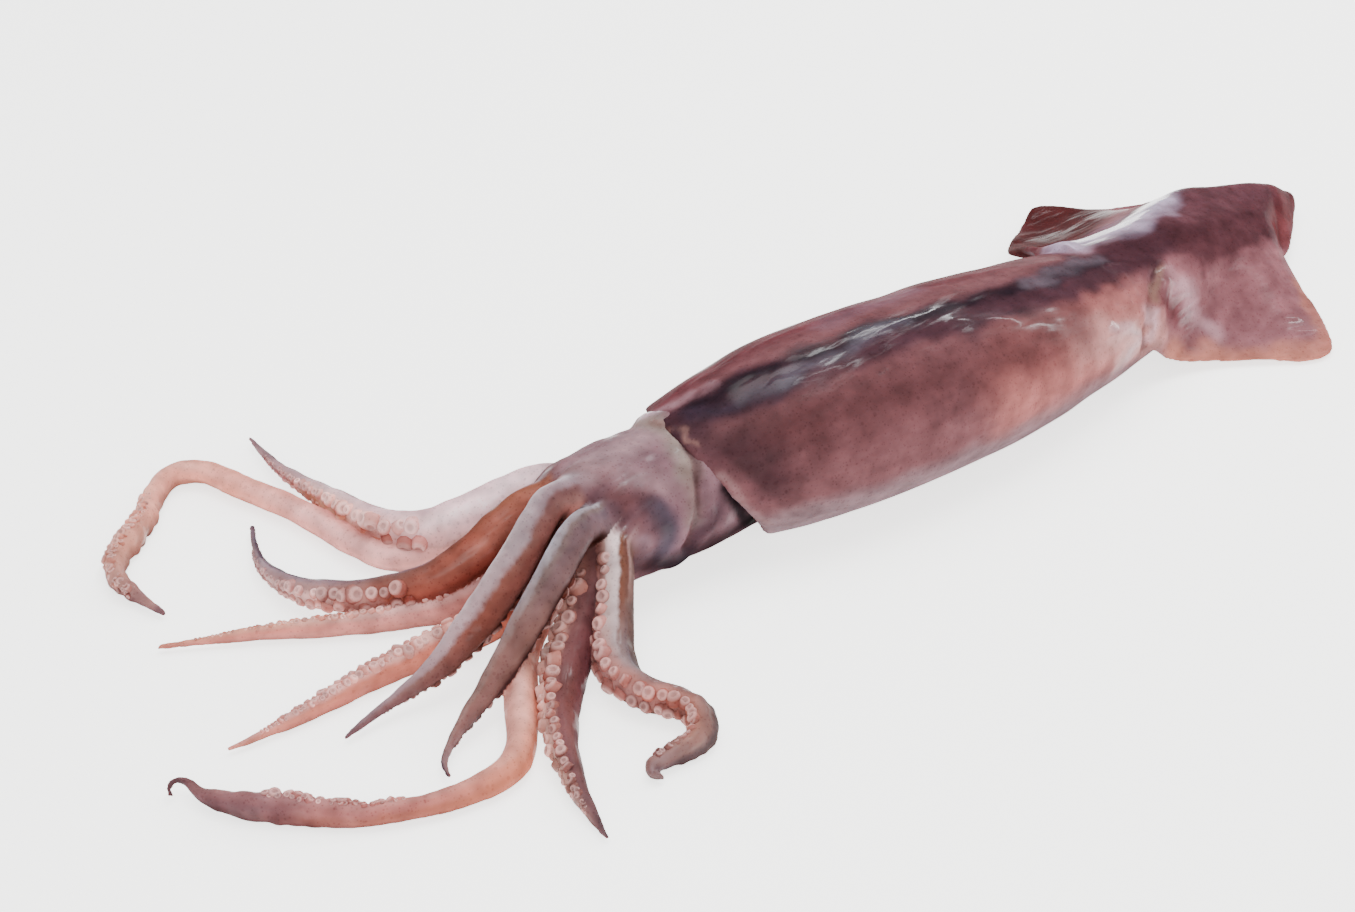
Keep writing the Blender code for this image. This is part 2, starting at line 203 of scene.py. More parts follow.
def cloud(points, size, seed):
    # soft noise that changes over size millimetres, stretched to about -1 to 1; each seed reads a new part
    stretched = 1.6
    shift = Vector((seed * 7.3, seed * 3.1, seed * 5.7))
    return np.array([noise.noise(Vector(p) / size + shift) for p in points]) * stretched


def unevenness(points, layers):
    # layers of noise: size, amount, seed, and how much of its width each keeps along x, to run lengthwise
    return sum(cloud(points * (along, 1, 1), size, seed) * amount for size, amount, seed, along in layers)


def wander(points, layers):
    # the points moved aside by noise, which makes the edges of what is painted on them uneven
    moved = points.copy()
    for size, amount, seed, along in layers:
        aside = [cloud(points * (along, 1, 1), size, seed + k) for k in range(3)]
        moved += np.stack(aside, axis=1) * amount
    return moved


def stroke(width, soft, *path, fade=0, **what):
    # a line over the skin: its half width, the share of that which is soft edge, the points that it runs
    # through, the share of its length that fades at each end, and the colour, strength or depth laid on
    return dict(width=width, soft=soft, path=path, fade=fade, **what)


def lineReach(points, path, near):
    # distance to a smooth line, and the share of its length at the nearest place
    lineStep = 1.2
    line = walk(path, lineStep)
    low, high = line.min(0) - near, line.max(0) + near
    chosen = np.nonzero(((points > low) & (points < high)).all(1))[0]
    part = points[chosen]
    best = np.full(len(chosen), 1e12)
    at = np.zeros(len(chosen))
    for i, spot in enumerate(line):
        squared = ((part - spot) ** 2).sum(1)
        closer = squared < best
        best[closer] = squared[closer]
        at[closer] = i / (len(line) - 1)
    reach = np.full(len(points), 1e6)
    place = np.zeros(len(points))
    reach[chosen] = np.sqrt(best)
    place[chosen] = at
    return reach, place


def strokeMask(points, line):
    # how much of a stroke lies on each point: full at its middle, none past its width
    width, fade = line["width"], line["fade"]
    reach, place = lineReach(points, line["path"], width + 1)
    mask = 1 - ease(width * (1 - line["soft"]), width, reach)
    if fade:
        mask *= ease(0, fade, place) * ease(0, fade, 1 - place)
    return mask


def layColour(tint, code, amount):
    tint += (linear(code) - tint) * amount[:, None]


def paint(tint, points, strokes):
    for line in strokes:
        layColour(tint, line["colour"], strokeMask(points, line) * line["strength"])


def sculpt(points, normals, strokes):
    # grooves have a depth below zero, ridges above
    for line in strokes:
        points += normals * (strokeMask(points, line) * line["depth"])[:, None]


def wetness(points, ground, strokes):
    wet = np.full(len(points), float(ground))
    for line in strokes:
        wet += (1 - wet) * strokeMask(points, line) * line["strength"]
    return wet


def finishSkin(body, points, normals, tint, wet, look):
    # painted shade in hollows and on the underside, small blotches, and no water film underneath
    hollow = ease(*look["hollowReach"], hollowDepth(body, points, look["hollowRounds"]))
    tint *= 1 - hollow[:, None] * look["hollowShade"]
    under = ease(*look["underReach"], -normals[:, 2])
    tint *= (1 - look["underShade"] * under)[:, None]
    tint *= (1 + unevenness(points, look["blotches"]))[:, None]
    writeTint(body, tint)
    writeWet(body, wet * (1 - under))


# Mantle tube: x, y, half width and height from the rim to the tail; the lip of the rim goes from the recess
# outwards, by how far it lies inside the skin and how deep in the tube
mantle = dict(
    stations=[
        (-77, 16, 19.2, 31.6), (-48, 10.5, 24.2, 39), (-15, 6.5, 25, 40), (20, 6.3, 22.6, 36.6),
        (60, 9.8, 16.8, 29), (95, 15, 12.4, 21.2), (125, 21.8, 6.2, 12), (143, 25.8, 2.2, 4.6)],
    rows=170, around=110, bellySink=1.2, setBack=22, setBackReach=0.32, setBackFade=1.5, flare=1.2,
    lip=[(7.5, 14), (3.6, 12.5), (3.1, 9), (2.9, 5), (2.4, 1.6), (1.7, 0.2), (0.8, -0.4), (0.2, -0.2)],
    lipFloor=0.8, samples=200, voxel=0.75, relaxing=8)


def mantleRows(shares, inset, deeper):
    places = shares * (len(mantle["stations"]) - 1)
    rows, ahead, behind = [curve(mantle["stations"], places + nudge) for nudge in (0, 0.05, -0.05)]
    heading = unit(ahead[:, :2] - behind[:, :2])
    nearRim = np.maximum(0, 1 - shares / mantle["setBackReach"]) ** mantle["setBackFade"]
    angle = np.linspace(0, math.tau, mantle["around"], endpoint=False)[None, :]
    half, height = rows[:, 2:3], rows[:, 3:4]
    side = (half + mantle["flare"] * nearRim[:, None] - inset[:, None]) * np.cos(angle)
    along = deeper[:, None] + mantle["setBack"] * (0.5 - 0.5 * np.sin(angle)) * nearRim[:, None]
    up = height / 2 + (height / 2 - inset[:, None]) * np.sin(angle) - mantle["bellySink"]
    rings = np.empty((len(shares), mantle["around"], 3))
    rings[:, :, 0] = rows[:, 0:1] + heading[:, 0:1] * along - heading[:, 1:2] * side
    rings[:, :, 1] = rows[:, 1:2] + heading[:, 1:2] * along + heading[:, 0:1] * side
    rings[:, :, 2] = np.maximum(up, inset[:, None] * mantle["lipFloor"])
    return rings


def buildMantle():
    lip = np.array(mantle["lip"], float)
    inner = mantleRows(np.zeros(len(lip)), lip[:, 0], lip[:, 1])
    shares = np.linspace(0, 1, mantle["rows"])
    flush = np.zeros(len(shares))
    outer = mantleRows(shares, flush, flush)
    return bentGrid("mantleTube", np.concatenate([inner, outer]), closed=True)


def mantleSection(x):
    # middle, half width and height of the tube at each x
    rows = evenly(mantle["stations"], mantle["samples"])
    return [np.interp(x, rows[:, 0], rows[:, k]) for k in (1, 2, 3)]


# Tail fin: the edge of each lobe from the front of its root round to the tail, and the crest between them,
# by x, y and how far it stands above the mantle's own back; lift and droop run from front to tail
fin = dict(
    near=[
        (50, -1, 27), (50, -7, 21), (52, -9.5, 13), (57, -10, 7.5), (64, -11, 4.2), (75, -16, 2),
        (85, -23, 1.5), (91, -27.5, 1.4), (96, -28.8, 1.3), (100, -27.8, 1.4), (103, -24.3, 1.8),
        (110.5, -13.2, 2.2), (114.5, -4.2, 2.6), (117.5, 3.5, 3), (120, 8, 3.5), (124, 8.2, 3.4),
        (131, 12.6, 3), (139.5, 19.6, 2.6), (145.8, 25.2, 2.4)],
    far=[
        (46, 20, 27), (50, 31, 22), (57, 42, 14), (67, 52, 7), (80, 61, 3), (90, 67.5, 1.8),
        (96, 69.5, 1.4), (100, 65.5, 1.6), (105, 58, 2), (112, 52.5, 2.6), (121, 48, 3.8),
        (130, 42, 5), (139, 34.5, 4.6), (145.6, 28.2, 2.4)],
    crest=[
        (48, 8, 0), (58, 10.5, 0), (70, 14.5, 0.6), (83, 20, 1.6), (95, 24.5, 2.4), (105, 26.5, 3),
        (117, 26.5, 3.4), (127, 26, 3.8), (137, 26.5, 3.8), (143.5, 27, 2), (146.4, 26.8, 0)],
    rows=150, across=50, rimStep=0.5, rootThick=4.4, edgeThick=1.5, thinTail=0.45, thinOut=0.7, lowest=2.6,
    lift=(-2.6, 0.6), droop=dict(far=(0.65, 0.5), near=(1.0, 1.0)), blend=0.34, blendTop=1.4, steep=3,
    proud=0.6, frontSink=0.7, besides=(0.2, 0.55))


def mantleTop(x, y):
    # height of the mantle's upper side over a place, falling away steeply beside it
    middle, half, height = mantleSection(x)
    across = np.abs(y - middle) / half
    rise = height / 2 * np.sqrt(np.clip(1 - across ** 2, 0, 1))
    return height / 2 - mantle["bellySink"] + rise - fin["steep"] * half * np.maximum(across - 1, 0)


def buildFin():
    shares = np.linspace(0, 1, fin["rows"])
    crest = evenly(fin["crest"], fin["rows"])
    ridge = mantleSection(crest[:, 0])[2] - mantle["bellySink"] + crest[:, 2]
    thick = fin["rootThick"] * (1 - fin["thinTail"] * shares)
    # the front of the fin rises out of the back without a step
    risen = ease(0, fin["blend"], shares)
    lift = fin["lift"][0] + (fin["lift"][1] - fin["lift"][0]) * risen
    height = np.maximum(ridge + lift - thick / 2, fin["lowest"])
    middle = np.stack([crest[:, 0], crest[:, 1], height], axis=1)
    out = np.abs(np.linspace(-1, 1, 2 * fin["across"] + 1))
    rings = np.empty((fin["rows"], len(out), 3))
    for lobe, chosen in (("far", slice(0, fin["across"] + 1)), ("near", slice(fin["across"], None))):
        rim = walk(fin[lobe], fin["rimStep"])
        rim = rim[np.round(np.linspace(0, len(rim) - 1, fin["rows"])).astype(int)]
        share = out[chosen][None, :, None]
        flat = middle[:, None] * (1 - share) + rim[:, None] * share
        front, tail = fin["droop"][lobe]
        power = front + (tail - front) * shares[:, None]
        fall = 0.5 + 0.5 * np.cos(math.pi * out[chosen][None, :] ** power)
        draped = rim[:, None, 2] + (middle[:, None, 2] - rim[:, None, 2]) * fall
        side = ease(*fin["besides"], out[chosen])[None, :]
        sunk = fin["rootThick"] * fin["frontSink"] * (1 - side) * (1 - risen[:, None])
        # drape over the mantle's back, without a crease where the two meet
        back = mantleTop(flat[:, :, 0], flat[:, :, 1]) + (fin["proud"] * fall - sunk)
        flat[:, :, 2] = (draped + back + np.sqrt((draped - back) ** 2 + fin["blendTop"] ** 2)) / 2
        rings[:, chosen] = flat
    thinning = 1 - (1 - fin["edgeThick"] / fin["rootThick"]) * out ** fin["thinOut"]
    sheet = bentGrid("finSheet", rings, closed=False, weights=thinning)
    sheet.vertex_groups.new(name="thickness")
    wall = sheet.modifiers.new("wall", "SOLIDIFY")
    wall.thickness = fin["rootThick"] * mm
    wall.offset = 0
    wall.vertex_group = "thickness"
    applyAll(sheet)
    return sheet


# Head and neck: x, y, z, half width and half height; the swellings by centre and radii
head = dict(
    stations=[
        (-50, 11, 15.6, 13.6, 12.4), (-64, 11.8, 15.4, 15.6, 13.8), (-74, 12.4, 15.4, 16.6, 14.4),
        (-84, 13, 15.5, 16.8, 14.6), (-94, 13.4, 15.4, 16.8, 14.6), (-103, 13.2, 15.6, 15.2, 13.6),
        (-110, 12.5, 16, 9.5, 9)],
    swellings=dict(
        crown=((-100, 14, 14), (12, 12.5, 11.5)), nape=((-72, 15.5, 23.5), (11, 12.5, 7.6)),
        web=((-107, 9, 13), (12, 12, 9)), nearEye=((-87, 0.5, 12.5), (8, 3.6, 7)),
        farEye=((-88, 26, 12.5), (8, 3.6, 7))),
    rows=60, around=72, floor=0.3, end=-104, endFade=16, voxel=0.6, relaxing=3)


def buildHead():
    rows = evenly(head["stations"], head["rows"])
    heading = unit(np.gradient(rows[:, :2], axis=0))
    angle = np.linspace(0, math.tau, head["around"], endpoint=False)[None, :]
    side = rows[:, 3:4] * np.cos(angle)
    rings = np.empty((head["rows"], head["around"], 3))
    rings[:, :, 0] = rows[:, 0:1] - heading[:, 1:2] * side
    rings[:, :, 1] = rows[:, 1:2] + heading[:, 0:1] * side
    rings[:, :, 2] = np.maximum(rows[:, 2:3] + rows[:, 4:5] * np.sin(angle), head["floor"])
    return bentGrid("headTube", rings, closed=True)


def buildSwelling(name, centre, radii):
    bm = bmesh.new()
    bmesh.ops.create_uvsphere(bm, u_segments=32, v_segments=20, radius=1)
    bmesh.ops.scale(bm, vec=Vector(radii) * mm, verts=bm.verts)
    bmesh.ops.translate(bm, vec=Vector(centre) * mm, verts=bm.verts)
    return toObject(name, bm)


# Limbs: the way the suckers face, the stretch that carries them and how far they are turned; any lumpy
# stretch and its height; colours from base to tip, for turns round the limb in degrees from the sucker
# side; the route with radii
# The ring colours hold painted light: paler and with painted sheen where a limb faces up, darker as painted
# shade on the sides turned down and where limbs crowd together
limbs = dict(
    first=dict(
        faces=(-0.75, -0.55, 0.2), suckers=(0.40, 0.90), turn=6,
        rings={
            -70: "#c89c9c #c49490 #b88278 #9c6252 #986860 #7c5456 #6a4c52",
            -10: "#ecc6ce #fad2da #eebcbe #bc7468 #bc866c #906468 #6a4c52",
            30: "#ecd2d6 #fcdae0 #fad6da #e0aca6 #eebab0 #a88486 #6a4c52",
            80: "#d0b0b6 #dcb8be #d4aab0 #c8a0a4 #c4a2a4 #947478 #644a50",
            120: "#90686e #98747a #8e7076 #846468 #7c5e64 #6a4e54 #543c44",
            180: "#8e6f74 #8e6f74 #84666a #74565a #644448 #543a40"},
        route=[(-90, 17, 19, 4.2), (-99, 30, 17.5, 4.3), (-110, 36, 13, 5), (-122, 41, 9, 5.2),
               (-128, 53, 6.5, 4.5), (-129, 70, 5, 3.1), (-129.5, 86, 3.6, 1.8), (-128, 99, 2.6, 1),
               (-126, 108, 1.7, 0.55)]),
    second=dict(
        faces=(-0.55, -0.65, 0.05), suckers=(0.48, 0.90), turn=12,
        rings={
            -70: "#6a3c32 #66382c #723c30 #94584a #a87a72 #86605e #5c484e",
            -30: "#744a3e #744438 #803e34 #743830 #b8867e #946e6e #5c484e",
            15: "#885848 #8c5246 #94564a #804034 #e0b0aa #ac8888 #5c4850",
            55: "#8a5846 #905648 #84463a #824c42 #a07874 #8c7074 #544048",
            90: "#7a4a3a #7e4a3a #6a3a30 #6c4842 #846a70 #88747a #483a42",
            118: "#8c7478 #8a7478 #7c666c #6c565e #5c4a54 #4c404a #40343e",
            180: "#50302e #502c2a #50302e #463034 #3e2e36"},
        route=[(-93, 11, 22, 4.2), (-106, 20, 21.5, 4.3), (-116, 22, 18, 4.6), (-126, 22.5, 13, 4.7),
               (-136, 26, 8.5, 4.4), (-146, 34, 6, 4), (-152.5, 43.5, 4.6, 3.3), (-154.5, 53, 3.6, 2.3),
               (-153.5, 62, 2.8, 1.4), (-150, 70, 2.2, 0.9), (-146, 77, 1.7, 0.55)]),
    third=dict(
        faces=(0.2, 0.5, 0.8), suckers=(0.34, 0.93), turn=-6,
        rings={
            0: "#7c4a40 #b0746c #c88e82 #c4806e #b8705c",
            -50: "#8a5248 #c08684 #d6a49e #d09482 #c07864",
            -100: "#84463c #b06c64 #c4827c #b86e62 #b47064",
            -140: "#6a3a34 #965a56 #b07068 #a86a62 #9a5c52",
            120: "#6a3a34 #8c5a54 #9c6862 #9a6056"},
        route=[(-91, 15, 12.5, 4.2), (-106, 18, 10.5, 4.3), (-116, 19.5, 8.5, 4.2), (-125, 19.5, 6, 3.8),
               (-133, 21.5, 4.6, 3.2), (-143, 26, 3.9, 2.7), (-152, 31, 3.3, 2.3), (-161, 37, 2.9, 2),
               (-169, 42, 2.5, 1.5), (-177, 46.5, 2, 1), (-186.5, 52, 1.4, 0.55)]),
    fourth=dict(
        faces=(0.1, 0.4, 0.9), suckers=(0.34, 0.93), turn=-12,
        rings={
            0: "#7a3c2c #c08070 #d49c92 #daa6a0 #c0847c",
            -45: "#84442e #c4847a #d49e94 #d49c94 #c0827a",
            -85: "#7c3c28 #b0604e #b86858 #b86c5c #b87668",
            -125: "#5c2c24 #964e3e #b06454 #b06458 #a0665a",
            160: "#5c2c24 #84483a #9c645a #9a645a",
            70: "#5c2c24 #84483a #9c645a #9a645a"},
        route=[(-91, 13.5, 11.5, 4.2), (-107, 13.5, 9.5, 4.3), (-119, 10.5, 7.5, 4.3),
               (-133, 10, 5.3, 3.9), (-146, 12, 4.1, 3.4), (-155, 12.3, 3.6, 3), (-163, 12.5, 3.2, 2.6),
               (-172, 12, 2.8, 2.2), (-180, 12, 2.3, 1.6), (-188, 12.3, 1.8, 1), (-194.5, 13, 1.4, 0.55)]),
    fifth=dict(
        faces=(0.0, -0.2, -0.95), suckers=(0.40, 0.90), turn=0,
        rings={
            0: "#3a1e1a #441f18 #50281e #50322c #483234",
            70: "#54383a #9a6058 #86504a #683c34 #60403f #503a40",
            105: "#5c4044 #74504c #6e3e38 #6a3a32 #6c4846 #584046",
            135: "#6a4c50 #644444 #6c463f #743e34 #785450 #5c444a",
            160: "#7a646a #7c666c #8c787c #a08488 #8c7074 #60484e",
            -165: "#8c7e86 #a2949a #ac9a9e #ac989c #947c82 #60484e",
            -128: "#7c6064 #8c6c6e #94706e #94726e #7c5e60 #503c44",
            -80: "#3a1e1a #4c2822 #583630 #54383a #44323a"},
        route=[(-90, 12, 20, 3.6), (-101, 12.3, 24, 3.9), (-111, 12, 25.8, 4), (-118, 9, 24.5, 4.1),
               (-125, 5.5, 21.5, 4.3), (-132, 3, 18, 4.4), (-139, 1.7, 13.5, 4.1),
               (-145.5, 1.4, 9.5, 3.4), (-152, 1.2, 6.5, 2.5), (-159, 1.8, 4.3, 1.6), (-167, 1.6, 2.6, 1),
               (-174.5, 0.5, 1.5, 0.55)]),
    sixth=dict(
        faces=(0.0, -0.2, -0.95), suckers=(0.40, 0.90), turn=0,
        rings={
            0: "#301c1a #441f18 #50281e #50322c #443032",
            60: "#3c2a2c #301c1a #301816 #3c2422 #503638 #44343a",
            100: "#4c383c #584448 #5e4646 #6c4a44 #70504c #8a7072",
            140: "#54404a #54444a #5e484a #6c4c48 #7c5450 #6c5456",
            160: "#5e4e52 #60504f #645250 #6a4a46 #805a54 #6c5456",
            176: "#685c60 #8c8288 #8c8288 #745a56 #80605a #6c5456",
            -160: "#7c7274 #aca8b4 #a6a0aa #806a6a #745c5a #60484c",
            -143: "#4c4246 #585254 #585254 #4c4448 #443840 #3c2e38",
            -120: "#3c3034 #443a3c #443839 #3c3034 #382c32 #382a32",
            -80: "#301c1a #3c2420 #44302c #44302e #3a2a2e"},
        route=[(-90, 9, 17, 3.6), (-102, 5, 21.6, 3.8), (-112.5, 0.8, 25.2, 3.9), (-119.5, -2.3, 23, 4),
               (-126, -4.7, 19, 3.9), (-133, -7, 14.5, 3.7), (-139.5, -9, 10.5, 3.2),
               (-146.5, -11.3, 7.2, 2.6), (-154, -13.7, 4.5, 1.8), (-160, -16.5, 3, 1.2),
               (-164, -19.8, 2.3, 0.8), (-165.5, -23.5, 1.6, 0.55)]),
    seventh=dict(
        faces=(-0.6, 0.5, 0.6), suckers=(0.24, 0.92), turn=6,
        rings={
            20: "#4a2c2a #84584e #e4bab0 #e8bab0 #a88076 #604448",
            -15: "#4a2c2a #6c443e #b8887e #b88076 #88605a #584044",
            -50: "#402830 #5e3c3c #644040 #684040 #644042 #503c3e",
            -90: "#38242a #4a2c2e #5a3436 #623a38 #60403f #48363a",
            -135: "#2c1c20 #46262a #5a3034 #583234 #4c3034 #3c2c32",
            -170: "#2c1c20 #381e22 #40242a #44302e #3c2c32",
            90: "#402a2e #52302e #6c4440 #64463f #4c3638"},
        route=[(-92, 9, 18, 4.2), (-104, 3, 16, 4.4), (-112, -2.5, 12, 4.6), (-121, -8, 7.5, 4.6),
               (-130.5, -16, 5.3, 4.5), (-137.5, -23.5, 4.5, 3.9), (-143, -31.5, 4, 3.3),
               (-146.5, -38.5, 3.3, 2.7), (-149.5, -45.5, 2.6, 2), (-151.5, -52.5, 1.9, 1.2),
               (-153, -58.5, 1.4, 0.55)]),
    eighth=dict(
        faces=(-0.7, 0.3, 0.35), suckers=(0.24, 0.95), turn=12, lumps=(0.66, 0.97, 0.32),
        rings={
            15: "#4c302e #6c4440 #90605a #a87672 #8c5852 #8c6058 #745c5e",
            -20: "#6a5450 #94746e #a07a74 #a87874 #985c52 #92645c #745c5e",
            -36: "#8a5c48 #c4aaaa #b09894 #a4726c #985e54 #946458 #684c4c",
            -72: "#a07860 #ccb6b6 #b09c9c #806a6a #785450 #7e5850 #745c60",
            -86: "#6c4a3c #5c382a #5c3a30 #705e5e #644c4a #7c5852 #6c585a",
            -114: "#644438 #50302a #54362e #605458 #483c3c #74544e #543e42",
            -127: "#9c8080 #8a6c68 #5c403a #463838 #403436 #5e4644 #4c383e",
            -150: "#7c5c58 #5c4440 #4c3834 #403434 #403434 #543e42",
            170: "#4c302c #54342e #4c3834 #443432 #543c38 #443438",
            80: "#3c2624 #54342e #5c3a34 #5c3a34 #64483f #483438"},
        route=[(-91, 9, 15, 3.8), (-99, 4, 19.5, 3.6), (-104.5, -1.2, 18.5, 3.7), (-109, -6.5, 14.5, 3.9),
               (-114, -12, 10, 4.1), (-118.5, -17.5, 6.8, 4.3), (-120.8, -24, 5.2, 4.1),
               (-119.5, -31, 4.5, 3.8), (-116.5, -36.5, 4.1, 3.6), (-115.3, -41, 3.8, 3.3),
               (-117.5, -45.5, 3.5, 3), (-122, -47.7, 3.2, 2.6), (-127.5, -47.5, 2.9, 2.3),
               (-132, -47.3, 2.4, 1.7), (-134, -49, 2, 1.1), (-132.3, -51, 1.6, 0.6)]),
    farTentacle=dict(
        faces=(-0.6, 0.2, 0.7), suckers=(0.74, 0.95), turn=0, lumps=(0.70, 0.97, 0.40),
        rings={
            -60: "#d69e9c #dc9c96 #e09c96 #e0948c #d88a78 #d08a7a #b87e6e #6a4c50",
            0: "#daa4a2 #e6aca8 #ecaca8 #ecaca6 #e69a8c #dc9c8c #be8878 #6a4c50",
            60: "#ca9494 #cc8e8c #cc8a84 #ce847c #cc8474 #b07668 #946258 #5c4248",
            180: "#a06e6e #a06e6e #a06e6e #a0665e #9a5a4a #7c4c42 #643c36 #4c363a"},
        route=[(-90, 18, 14, 3.2), (-99, 31, 12, 3.2), (-111, 36, 8, 3.1), (-122, 37.5, 5.2, 3.1),
               (-131, 43, 4.2, 3.1), (-134, 54, 3.8, 3.1), (-135, 66, 3.6, 3.1), (-137, 77, 3.5, 3),
               (-140, 88, 3.5, 3), (-143, 99, 3.5, 2.9), (-149, 104, 3.4, 2.7), (-156, 101, 3.3, 2.6),
               (-164, 93, 3.2, 2.6), (-171, 88, 3.3, 2.9), (-177, 84, 3.2, 2.7), (-181, 76, 3, 2.3),
               (-180.5, 69, 2.4, 1.6), (-179, 61, 1.6, 0.6)]),
    nearTentacle=dict(
        faces=(-0.2, 0.8, 0.55), suckers=(0.66, 0.84), turn=0, lumps=(0.72, 0.92, 0.12),
        rings={
            0: "#ac7e7c #c4908e #c88c82 #c08074 #b07670 #946664 #5a3e42",
            -50: "#b88280 #d4a2a0 #d89c92 #c88474 #ac706a #8c5e60 #4c3438",
            -100: "#b27c7a #cc9490 #cc8c7c #c47862 #a2605a #6c484c #443034",
            -140: "#a06d6a #b47a72 #b4705e #b46852 #94564a #5c3a3c #443034",
            100: "#946460 #a26f69 #a26f66 #905952 #6c464a #4c3438"},
        route=[(-92, 12, 13, 3.2), (-107, 8.5, 11.5, 3.2), (-118, 5, 9.5, 3.4), (-131, -2.5, 6, 3.7),
               (-139, -12, 4.2, 3.7), (-144, -19, 3.9, 3.5), (-149, -25.5, 3.8, 3.2),
               (-154.5, -29.8, 3.6, 3.1), (-161, -31, 3.4, 2.8), (-168, -30.3, 3.1, 2.5),
               (-176, -28, 3, 2.3), (-184.5, -24, 3, 2.3), (-190, -19.5, 3.1, 2.6), (-196, -13, 3.4, 3),
               (-201, -7.5, 3.4, 2.9), (-205, -2, 3, 2.3), (-207, 3, 2.6, 1.5), (-207.3, 7.5, 3, 1),
               (-208.7, 9.8, 3, 0.7), (-210.8, 9.2, 2.5, 0.6), (-211.6, 7.2, 1.8, 0.55)]))

# Section of a limb: a keel on the back, shallow hollows beside it and a flatter sucker side, by share of
# the radius; their places and spreads are angles in radians
limbForm = dict(
    around=30, step=0.9, keel=0.24, keelSpread=0.42, hollow=0.10, hollowAt=1.1, hollowSpread=0.45,
    flat=0.14, flatSpread=0.9, floor=0.3)


def limbFrames(limb):
    # centres, radii, side and sucker directions of a limb, one row every step
    rows = walk(limb["route"], limbForm["step"])
    centre, radius = rows[:, :3], rows[:, 3]
    along = unit(np.gradient(centre, axis=0))
    faces = np.array(limb["faces"], float)
    oral = unit(faces - along * (along @ faces)[:, None])
    return centre, radius, np.cross(along, oral), oral


def limbFactor(angle):
    # share of the radius at an angle round the limb; suckers stand at a quarter turn
    back = np.abs((angle + math.pi / 2 + math.pi) % math.tau - math.pi)
    front = np.abs((angle - math.pi / 2 + math.pi) % math.tau - math.pi)
    keel = limbForm["keel"] * np.exp(-(back / limbForm["keelSpread"]) ** 2)
    hollow = limbForm["hollow"] * np.exp(-((back - limbForm["hollowAt"]) / limbForm["hollowSpread"]) ** 2)
    flat = limbForm["flat"] * np.exp(-(front / limbForm["flatSpread"]) ** 2)
    return 1 + keel - hollow - flat


def limbColour(limb, turn, share):
    # colours evenly spaced from base to tip, blended round the limb from ring to ring
    turns = sorted(limb["rings"])
    shades = []
    for at in turns:
        rows = np.array([linear(code) for code in limb["rings"][at].split()])
        places = share * (len(rows) - 1)
        shade = [np.interp(places, np.arange(len(rows)), rows[:, k]) for k in range(3)]
        shades.append(np.stack(shade, axis=1))
    result = np.zeros((len(share), 3))
    for i, at in enumerate(turns):
        after = (i + 1) % len(turns)
        gap = (turns[after] - at) % 360
        past = (turn - at) % 360
        here = past < gap
        blend = ease(0, gap, past[here])[:, None]
        result[here] = shades[i][here] * (1 - blend) + shades[after][here] * blend
    return result


def buildLimb(name, limb):
    centre, radius, side, oral = limbFrames(limb)
    angle = np.linspace(0, math.tau, limbForm["around"], endpoint=False)
    reach = radius[:, None] * limbFactor(angle)[None, :]
    rings = (centre[:, None] + side[:, None] * (reach * np.cos(angle))[:, :, None]
             + oral[:, None] * (reach * np.sin(angle))[:, :, None])
    rings[:, :, 2] = np.maximum(rings[:, :, 2], limbForm["floor"])
    return bentGrid(name, rings, closed=True)


# Suckers: rows by angle from the middle of the sucker side with their share of the size, the size as a
# share of the limb's radius, and the cup's profile as radius and height, from its foot to its floor. What
# varies from cup to cup is given as a spread: of size, turn in degrees, pitch, lean and shade.
sucker = dict(
    armRows=[(-30, 1.0), (27, 1.0)], clubRows=[(-42, 0.6), (-15, 1.0), (16, 1.0), (40, 0.6)],
    armSize=0.34, clubSize=0.36, pitch=2.0, sides=12, sink=0.3, smallest=0.28, seed=7,
    sizeSpread=0.18, sizeLimits=(0.7, 1.3), turnSpread=5, pitchSpread=0.12, leanSpread=0.34,
    shadeSpread=0.16,
    profile=[
        (1.3, -0.5), (1.12, 0.0), (1.02, 0.34), (0.92, 0.62), (0.74, 0.82), (0.54, 0.84), (0.36, 0.72),
        (0.15, 0.68)],
    rim="#e6b2ac", rimShare=0.4, rimHeight=(0.3, 0.85), foot="#f5deda", pitReach=(0.35, 0.6), pitShade=0.25,
    clearance=0.4, wet=0.25)


def upAndRound(face):
    # a place in the order of a cup's faces: by height, and by angle within a ring
    centre = face.calc_center_median()
    return 1000 * centre.z + math.atan2(centre.y, centre.x)


def suckerCup():
    cup = bmesh.new()
    ring = bmesh.ops.create_circle(cup, segments=sucker["sides"], radius=sucker["profile"][0][0])["verts"]
    bmesh.ops.translate(cup, vec=(0, 0, sucker["profile"][0][1]), verts=ring)
    edges = list(cup.edges)
    for (before, _), (radius, height) in zip(sucker["profile"], sucker["profile"][1:]):
        made = bmesh.ops.extrude_edge_only(cup, edges=edges)["geom"]
        ring = [v for v in made if isinstance(v, bmesh.types.BMVert)]
        edges = [e for e in made if isinstance(e, bmesh.types.BMEdge)]
        bmesh.ops.scale(cup, vec=(radius / before, radius / before, 1), verts=ring)
        bmesh.ops.translate(cup, vec=(0, 0, height - ring[0].co.z), verts=ring)
    bmesh.ops.holes_fill(cup, edges=[e for e in cup.edges if e.is_boundary], sides=0)
    bmesh.ops.recalc_face_normals(cup, faces=cup.faces)
    # the extrusions leave the faces in another order each run
    cup.faces.sort(key=upAndRound)
    mesh = bpy.data.meshes.new("suckerCup")
    cup.to_mesh(mesh)
    cup.free()
    return mesh


